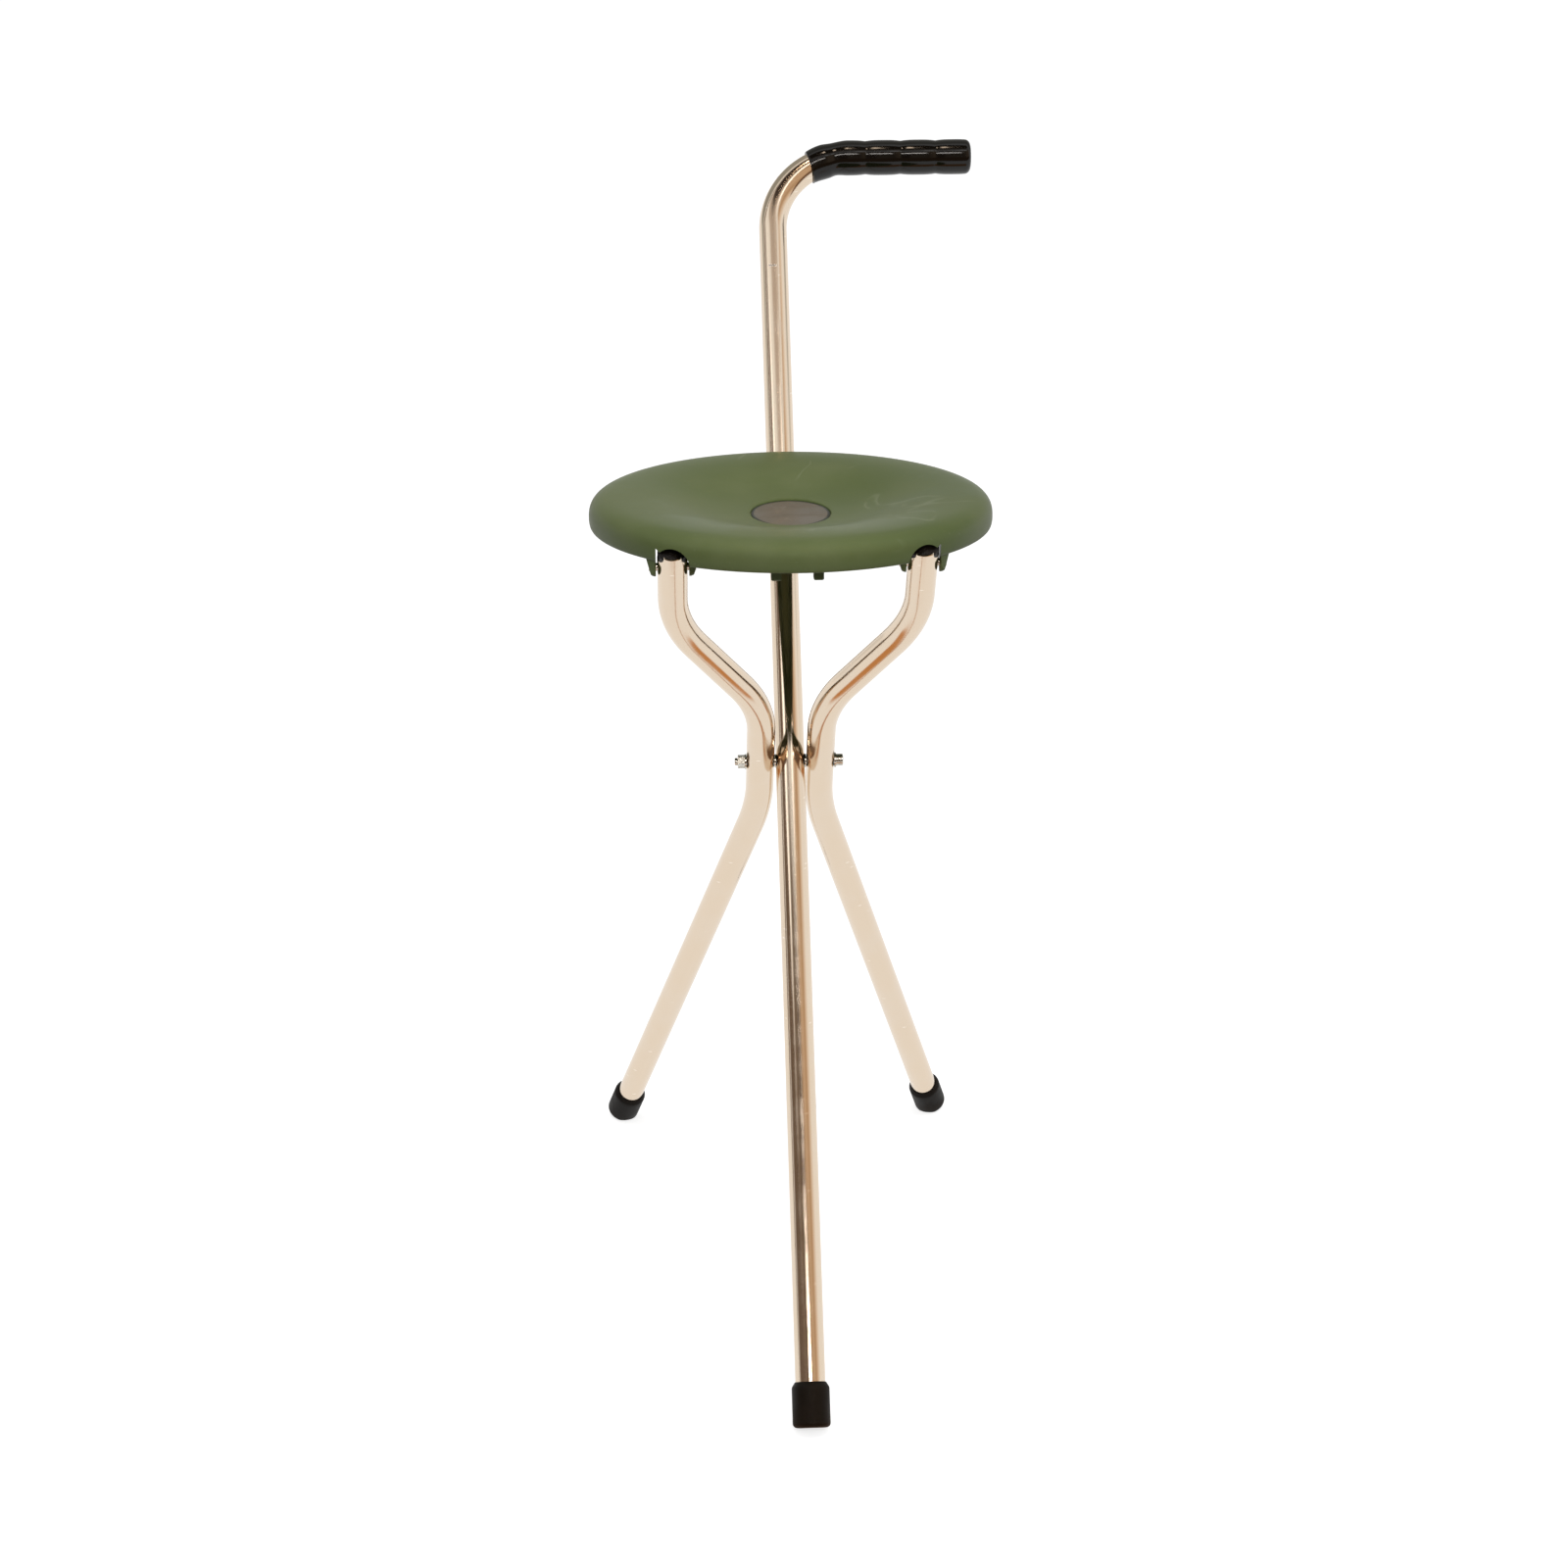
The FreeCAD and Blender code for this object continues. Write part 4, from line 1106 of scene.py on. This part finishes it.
def seat_finish(colour, worn):
    """Moulded green plastic, rubbed paler where it has been sat on."""

    def toned(graph, place):
        return graph.mix(graph.span(graph.noise(place, 5.0, 2.0), 0.35, 0.65), colour, linear(82, 95, 54))

    layers = (
        ("Patches", 0.28, worn),
        ("Rubs", 0.40, linear(128, 136, 106)),
        ("Specks", 0.10, linear(134, 140, 112)),
    )
    grain = (1300.0, 0.00005, 0.7)
    return worn_finish("green_moulding", toned, (11.0, 7.5), layers, (0.38, 0.10), grain, 0.22, -0.8)


def grip_finish(colour):
    """Glossy near-black moulding."""
    layers = (("Patches", 0.35, linear(16, 12, 8)), ("Rubs", 0.08, linear(50, 42, 34)))
    grain = (500.0, 0.00002, 0.4)
    return worn_finish("black_grip", colour, (40.0, 30.0), layers, (0.10, 0.05), grain, 0.36)


def ferrule_finish(colour):
    """Dark rubber, greyer with dust low down and on its edges."""

    def dusty(graph, place, wear):
        height = graph.node("SeparateXYZ", Vector=place).outputs["Z"]
        return graph.times(graph.fall(height, 0.0, 0.012), wear["Patches"])

    layers = (
        ("Patches", 0.25, linear(38, 30, 23)),
        (dusty, 0.25, linear(72, 63, 54)),
        ("Rubs", 0.25, linear(76, 66, 56)),
    )
    grain = (900.0, 0.00008, 0.6)
    return worn_finish("ferrule_rubber", colour, (60.0, 40.0), layers, (0.46, 0.14), grain, 0.12)


def badge_finish(colour):
    """Satin taupe plate, with a near-black band of painted shade round its edge standing for the shadow in
    the gap to the well's wall.
    """

    # Mask of the painted shade: a band just inside the plate's edge, where the gap to the well's wall lies in
    # shadow.
    def outline(graph, place, wear):
        centre = pivot + SEAT_CENTRE
        scale = (2 / BADGE_WIDTH, 2 / BADGE_LENGTH, 0.0)
        oval = graph.scaled(place, scale, (-centre[0] * scale[0], -centre[1] * scale[1], 0.0))
        reach = graph.node("VectorMath", {"operation": "LENGTH"}, Vector=oval).outputs["Value"]
        return graph.span(reach, 0.905, 0.925)

    layers = (
        ("Patches", 0.30, linear(112, 101, 88)),
        ("Rubs", 0.30, linear(140, 130, 116)),
        # Painted shade: near-black over the edge band, for the shadow in the gap round the plate.
        (outline, 1.0, linear(22, 27, 16)),
    )
    grain = (1800.0, 0.00003, 0.5)
    return worn_finish("badge_plate", colour, (50.0, 36.0), layers, (0.34, 0.12), grain)


def plain_moulding(name, colour, roughness):
    """Dark moulded plastic for plugs and bushes."""
    layers = (("Patches", 0.3, linear(40, 32, 25)),)
    return worn_finish(name, colour, (90.0, 60.0), layers, (roughness, 0.1), (900.0, 0.00005, 0.5), 0.3)


def zinc_finish(colour):
    """Zinc plated steel, with turning marks and small dull spots."""
    material, graph, shader, place = new_material("zinc_steel")
    spots = graph.noise(place, 520.0, 3.0)
    rings = graph.noise(graph.scaled(place, (3000.0, 260.0, 260.0)), 1.0, 2.0)
    graph.put(shader["Base Color"], graph.mix(graph.span(spots, 0.45, 0.70), colour, linear(168, 160, 146)))
    shader["Metallic"].default_value = 1.0
    graph.put(shader["Roughness"], graph.plus(graph.times(spots, 0.25), 0.10))
    graph.put(shader["Normal"], bumped(graph, rings, 0.00003, 0.4))
    return material


def make_floor():
    """White floor that lifts to the background's white where no shadow falls.

    Bright metal shows it as plain white, with a patch of wood on it in front of the feet.
    Its bounce on the object is kept low.
    """
    mesh = bpy.data.meshes.new("floor")
    mesh.from_pydata([(-9, -1.7, 0), (9, -1.7, 0), (9, 16, 0), (-9, 16, 0)], [], [(0, 1, 2, 3)])
    floor = bpy.data.objects.new("floor", mesh)
    bpy.context.scene.collection.objects.link(floor)
    material, graph, shader, place = new_material("white_floor")
    shader["Roughness"].default_value = 0.9
    shader["Specular IOR Level"].default_value = 0.0
    shader["Emission Color"].default_value = (1, 1, 1, 1)
    path = graph.node("LightPath").outputs
    paint = graph.mix(path["Is Diffuse Ray"], linear(206, 206, 206), linear(120, 118, 114))
    graph.put(shader["Base Color"], paint)
    graph.put(shader["Emission Strength"], graph.times(path["Is Camera Ray"], FLOOR_LIFT))
    places = graph.node("SeparateXYZ", Vector=place).outputs
    wood = graph.band(places["Y"], WOOD_FRONT, WOOD_BACK, WOOD_EDGE)
    wood = graph.times(wood, graph.near(places["X"], 0.0, WOOD_SIDE - 2 * WOOD_EDGE, WOOD_SIDE))
    shown = graph.node("Emission", Color=graph.mix(wood, (1, 1, 1, 1), linear(206, 146, 92)), Strength=1.0)
    both = graph.node("MixShader", Fac=path["Is Glossy Ray"])
    output = next(node for node in material.node_tree.nodes if node.type == "OUTPUT_MATERIAL")
    painted = next(node for node in material.node_tree.nodes if node.type == "BSDF_PRINCIPLED")
    graph.put(both.inputs[1], painted.outputs[0])
    graph.put(both.inputs[2], shown.outputs[0])
    graph.put(output.inputs["Surface"], both.outputs[0])
    mesh.materials.append(material)


def shown_room(graph, parts):
    """What bright metal shows all round.

    Towards the front the room is dark brown on the left and wood coloured on the right.
    Over that are two bright panels, and over those a beige ceiling that darkens overhead. Two
    narrow lights straight in front are for the grip. Behind the object is a grey wall.
    """
    height = parts["Z"]
    azimuth = graph.math("ARCTAN2", parts["X"], graph.times(parts["Y"], -1.0))
    front = graph.times(graph.span(azimuth, -1.60, -1.45), graph.fall(azimuth, 1.25, 1.50))
    top = graph.span(azimuth, -0.85, -0.60, ROOM_TOP_LEFT, ROOM_TOP)
    above = graph.math("SUBTRACT", height, top)
    streaks = graph.node("TexNoise", {"noise_dimensions": "1D"}, W=azimuth, Scale=5.0, Detail=3.0)
    streak = graph.span(streaks.outputs["Fac"], 0.38, 0.62)
    dark = graph.mix(streak, linear(88, 72, 66), linear(140, 124, 108))
    wood = graph.mix(streak, linear(214, 186, 158), linear(190, 160, 128))
    room = graph.mix(graph.span(azimuth, 0.16, 0.42), dark, wood)
    room = graph.mix(graph.span(azimuth, 1.0, 1.3), room, linear(240, 226, 212))
    room = graph.mix(graph.fall(height, 0.0, 0.10), room, linear(120, 92, 70))
    wall = graph.times(graph.span(parts["Y"], 0.05, 0.35), graph.span(height, 0.12, 0.30))
    ceiling = graph.times(front, graph.span(height, CEILING_HEIGHT - 0.02, CEILING_HEIGHT + 0.02))
    overhead = graph.times(front, graph.span(height, 0.84, 0.88))
    studio = graph.mix(wall, (1, 1, 1, 1), linear(158, 158, 152))
    studio = graph.mix(ceiling, studio, linear(202, 190, 180))
    studio = graph.mix(overhead, studio, linear(64, 54, 47))
    studio = graph.mix(graph.times(front, graph.fall(above, -0.02, 0.02)), studio, room)
    panel_height = graph.times(graph.span(above, 0.0, 0.02), graph.fall(above, 0.07, 0.10))
    for start, end in ((-1.30, -0.80), (0.12, 0.55)):
        panel = graph.times(graph.band(azimuth, start, end, 0.10), panel_height)
        studio = graph.mix(panel, studio, (2.2, 2.15, 2.1, 1))
    middle = graph.near(azimuth, 0.0, 0.16, 0.22)
    for level, tall, light in ((0.545, 0.035, (16.0, 15.2, 14.4, 1)), (0.955, 0.03, (16.0, 12.4, 9.0, 1))):
        strip = graph.times(graph.near(height, level, tall * 0.6, tall), middle)
        studio = graph.mix(strip, studio, light)
    post = graph.times(graph.near(azimuth, -POST_AZIMUTH, 0.03, 0.09), graph.span(height, -0.05, 0.05))
    return graph.mix(post, studio, linear(110, 88, 72))


def make_world(level):
    """Soft light that is stronger from above, a white background, and a room for metal to show."""
    world = bpy.data.worlds.new("studio")
    bpy.context.scene.world = world
    world.use_nodes = True
    world.node_tree.nodes.clear()
    graph = Graph(world.node_tree)
    parts = graph.node("SeparateXYZ", Vector=graph.node("TexCoord").outputs["Generated"]).outputs
    path = graph.node("LightPath").outputs
    soft = graph.mix(graph.span(parts["Z"], -0.05, 0.60), linear(118, 118, 116), (1, 1, 1, 1))
    light = graph.node("Background", Color=soft, Strength=level)
    room = graph.node("Background", Color=shown_room(graph, parts), Strength=1.0)
    white = graph.node("Background", Color=(1, 1, 1, 1), Strength=1.0)
    first = graph.node("MixShader", Fac=path["Is Glossy Ray"])
    seen = graph.math("MAXIMUM", path["Is Camera Ray"], path["Is Transmission Ray"])
    second = graph.node("MixShader", Fac=seen)
    output = graph.node("OutputWorld")
    graph.put(first.inputs[1], light.outputs[0])
    graph.put(first.inputs[2], room.outputs[0])
    graph.put(second.inputs[1], first.outputs[0])
    graph.put(second.inputs[2], white.outputs[0])
    graph.put(output.inputs["Surface"], second.outputs[0])


def add_lamp(name, place, target, size, power, colour):
    """Soft rectangular lamp at a place, facing a target."""
    lamp = bpy.data.lights.new(name, "AREA")
    lamp.shape = "RECTANGLE"
    lamp.size, lamp.size_y = size
    lamp.energy = power
    lamp.color = colour
    holder = bpy.data.objects.new(name, lamp)
    bpy.context.scene.collection.objects.link(holder)
    holder.visible_glossy = False
    holder.location = place
    holder.rotation_euler = (Vector(target) - Vector(place)).to_track_quat("-Z", "Y").to_euler()


def add_camera():
    """Camera at the photograph's viewpoint, aim, roll and field of view."""
    camera = bpy.data.cameras.new("camera")
    camera.sensor_width = 36.0
    camera.lens = 36.0 * FOCAL_PIXELS / FRAME_PIXELS
    holder = bpy.data.objects.new("camera", camera)
    bpy.context.scene.collection.objects.link(holder)
    forward = Vector(CAMERA_AIM).normalized()
    right = forward.cross(Vector((0, 0, 1))).normalized()
    up = right.cross(forward)
    roll = math.radians(CAMERA_ROLL)
    tilted_right = right * math.cos(roll) + up * math.sin(roll)
    tilted_up = tilted_right.cross(forward)
    turn = Matrix((tilted_right, tilted_up, -forward)).transposed()
    holder.matrix_world = Matrix.Translation(pivot + CAMERA_FROM_PIVOT) @ turn.to_4x4()
    bpy.context.scene.camera = holder


def colour_choice(name, description, *screen):
    """A colour for the panel, given as it looks on a screen."""
    sizes = {"size": 4, "min": 0.0, "max": 1.0}
    return FloatVectorProperty(
        name=name, description=description, subtype="COLOR", default=linear(*screen), **sizes
    )


def lamp_power(name, description, watts):
    """A lamp's power for the panel."""
    return FloatProperty(
        name=name, description=description, subtype="POWER", unit="POWER", min=0.0, default=watts
    )


class STICKSEAT_PG_colours(bpy.types.PropertyGroup):
    """Colours of the finishes."""

    tube: colour_choice("Tube", "Tint of the drawn aluminium tubes", 230, 212, 190)
    seat: colour_choice("Seat", "Colour of the moulded seat", 92, 104, 62)
    seat_wear: colour_choice("Seat wear", "Colour of the seat where it is rubbed pale", 118, 124, 92)
    grip: colour_choice("Grip", "Colour of the handle grip", 12, 9, 6)
    ferrule: colour_choice("Ferrules", "Colour of the rubber ferrules", 22, 17, 12)
    badge: colour_choice("Badge", "Colour of the blank oval plate", 96, 87, 74)


class STICKSEAT_PG_light(bpy.types.PropertyGroup):
    """Levels of the studio's light."""

    world: FloatProperty(
        name="Surrounding light",
        description="Strength of the soft light from all round",
        min=0.0,
        max=2.0,
        default=0.62,
    )
    front: lamp_power("Front lamp", "Power of the lamp over the camera", 14.0)
    overhead: lamp_power("Overhead lamp", "Power of the warm lamp overhead", 16.0)


class STICKSEAT_OT_stage(bpy.types.Operator):
    """Make the floor, the surroundings, the lamps and the camera"""

    bl_idname = "stickseat.stage"
    bl_label = "Stage"

    def execute(self, context):
        light = context.scene.stickseat_light
        make_floor()
        make_world(light.world)
        add_lamp("front_lamp", (0.35, -1.95, 1.45), (0, 0, 0.45), (0.7, 0.6), light.front, (1.0, 0.985, 0.96))
        warm = (1.0, 0.95, 0.88)
        add_lamp("overhead_lamp", (0.1, -0.70, 2.6), (0, 0, 0.5), (0.9, 0.7), light.overhead, warm)
        add_camera()
        return {"FINISHED"}


class STICKSEAT_OT_tubes(bpy.types.Operator):
    """Make the bent stick, and the two side legs with the plugs in their tops"""

    bl_idname = "stickseat.tubes"
    bl_label = "Stick and legs"

    def execute(self, context):
        material = tube_finish(tuple(context.scene.stickseat_colours.tube))
        make_stick(material)
        plug = plain_moulding("plug_moulding", linear(18, 13, 10), 0.4)
        for side in ("left", "right"):
            make_leg(side, material)
            make_plug(side, plug)
        return {"FINISHED"}


class STICKSEAT_OT_grip(bpy.types.Operator):
    """Make the moulded handle grip"""

    bl_idname = "stickseat.grip"
    bl_label = "Grip"

    def execute(self, context):
        make_grip(grip_finish(tuple(context.scene.stickseat_colours.grip)))
        return {"FINISHED"}


class STICKSEAT_OT_ferrules(bpy.types.Operator):
    """Make the three rubber ferrules"""

    bl_idname = "stickseat.ferrules"
    bl_label = "Ferrules"

    def execute(self, context):
        material = ferrule_finish(tuple(context.scene.stickseat_colours.ferrule))
        front_tip = np.array([0, 0, -FOOT_REACH])
        upright = np.array([0, 0, 1.0])
        make_ferrule("front", STICK_RADIUS, front_tip, upright, stick_leaned, "main_stick", material)
        tip, upward = leg_foot()
        for side in ("left", "right"):
            make_ferrule(side, LEG_RADIUS, tip, upward, legs_leaned, "side_legs", material)
        return {"FINISHED"}


class STICKSEAT_OT_seat(bpy.types.Operator):
    """Make the moulded seat and its badge plate"""

    bl_idname = "stickseat.seat"
    bl_label = "Seat"

    def execute(self, context):
        colours = context.scene.stickseat_colours
        make_seat(seat_finish(tuple(colours.seat), tuple(colours.seat_wear)))
        make_badge(badge_finish(tuple(colours.badge)))
        return {"FINISHED"}


class STICKSEAT_OT_fittings(bpy.types.Operator):
    """Give the bolt, nut, washers, pins and bushes their finishes"""

    bl_idname = "stickseat.fittings"
    bl_label = "Fittings"

    def execute(self, context):
        steel = zinc_finish(linear(212, 208, 198))
        bush = plain_moulding("bush_moulding", linear(50, 46, 42), 0.5)
        for name, node in frame["nodes"].items():
            if node.hide_render:
                continue
            finish = bush if name.endswith("bush") else steel
            node.data.materials.clear()
            node.data.materials.append(finish)
        return {"FINISHED"}


class STICKSEAT_PT_panel(bpy.types.Panel):
    """Lists the colours, the light and the steps that make the stick seat"""

    bl_idname = "STICKSEAT_PT_panel"
    bl_label = "Walking stick seat"
    bl_space_type = "VIEW_3D"
    bl_region_type = "UI"
    bl_category = "Stick Seat"

    def draw(self, context):
        for group in (context.scene.stickseat_colours, context.scene.stickseat_light):
            for name in group.bl_rna.properties.keys():
                if name not in ("rna_type", "name"):
                    self.layout.prop(group, name)
        for step in steps:
            self.layout.operator(step.bl_idname)


steps = (
    STICKSEAT_OT_stage,
    STICKSEAT_OT_tubes,
    STICKSEAT_OT_grip,
    STICKSEAT_OT_ferrules,
    STICKSEAT_OT_seat,
    STICKSEAT_OT_fittings,
)
classes = (STICKSEAT_PG_colours, STICKSEAT_PG_light, *steps, STICKSEAT_PT_panel)


def register():
    for each in classes:
        bpy.utils.register_class(each)
    bpy.types.Scene.stickseat_colours = PointerProperty(type=STICKSEAT_PG_colours)
    bpy.types.Scene.stickseat_light = PointerProperty(type=STICKSEAT_PG_light)


def unregister():
    del bpy.types.Scene.stickseat_light
    del bpy.types.Scene.stickseat_colours
    for each in reversed(classes):
        bpy.utils.unregister_class(each)


def main():
    """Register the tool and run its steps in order."""
    register()
    bpy.context.scene.view_settings.view_transform = "Standard"
    bpy.ops.stickseat.stage()
    bpy.ops.stickseat.tubes()
    bpy.ops.stickseat.grip()
    bpy.ops.stickseat.ferrules()
    bpy.ops.stickseat.seat()
    bpy.ops.stickseat.fittings()


if __name__ == "__main__":
    main()
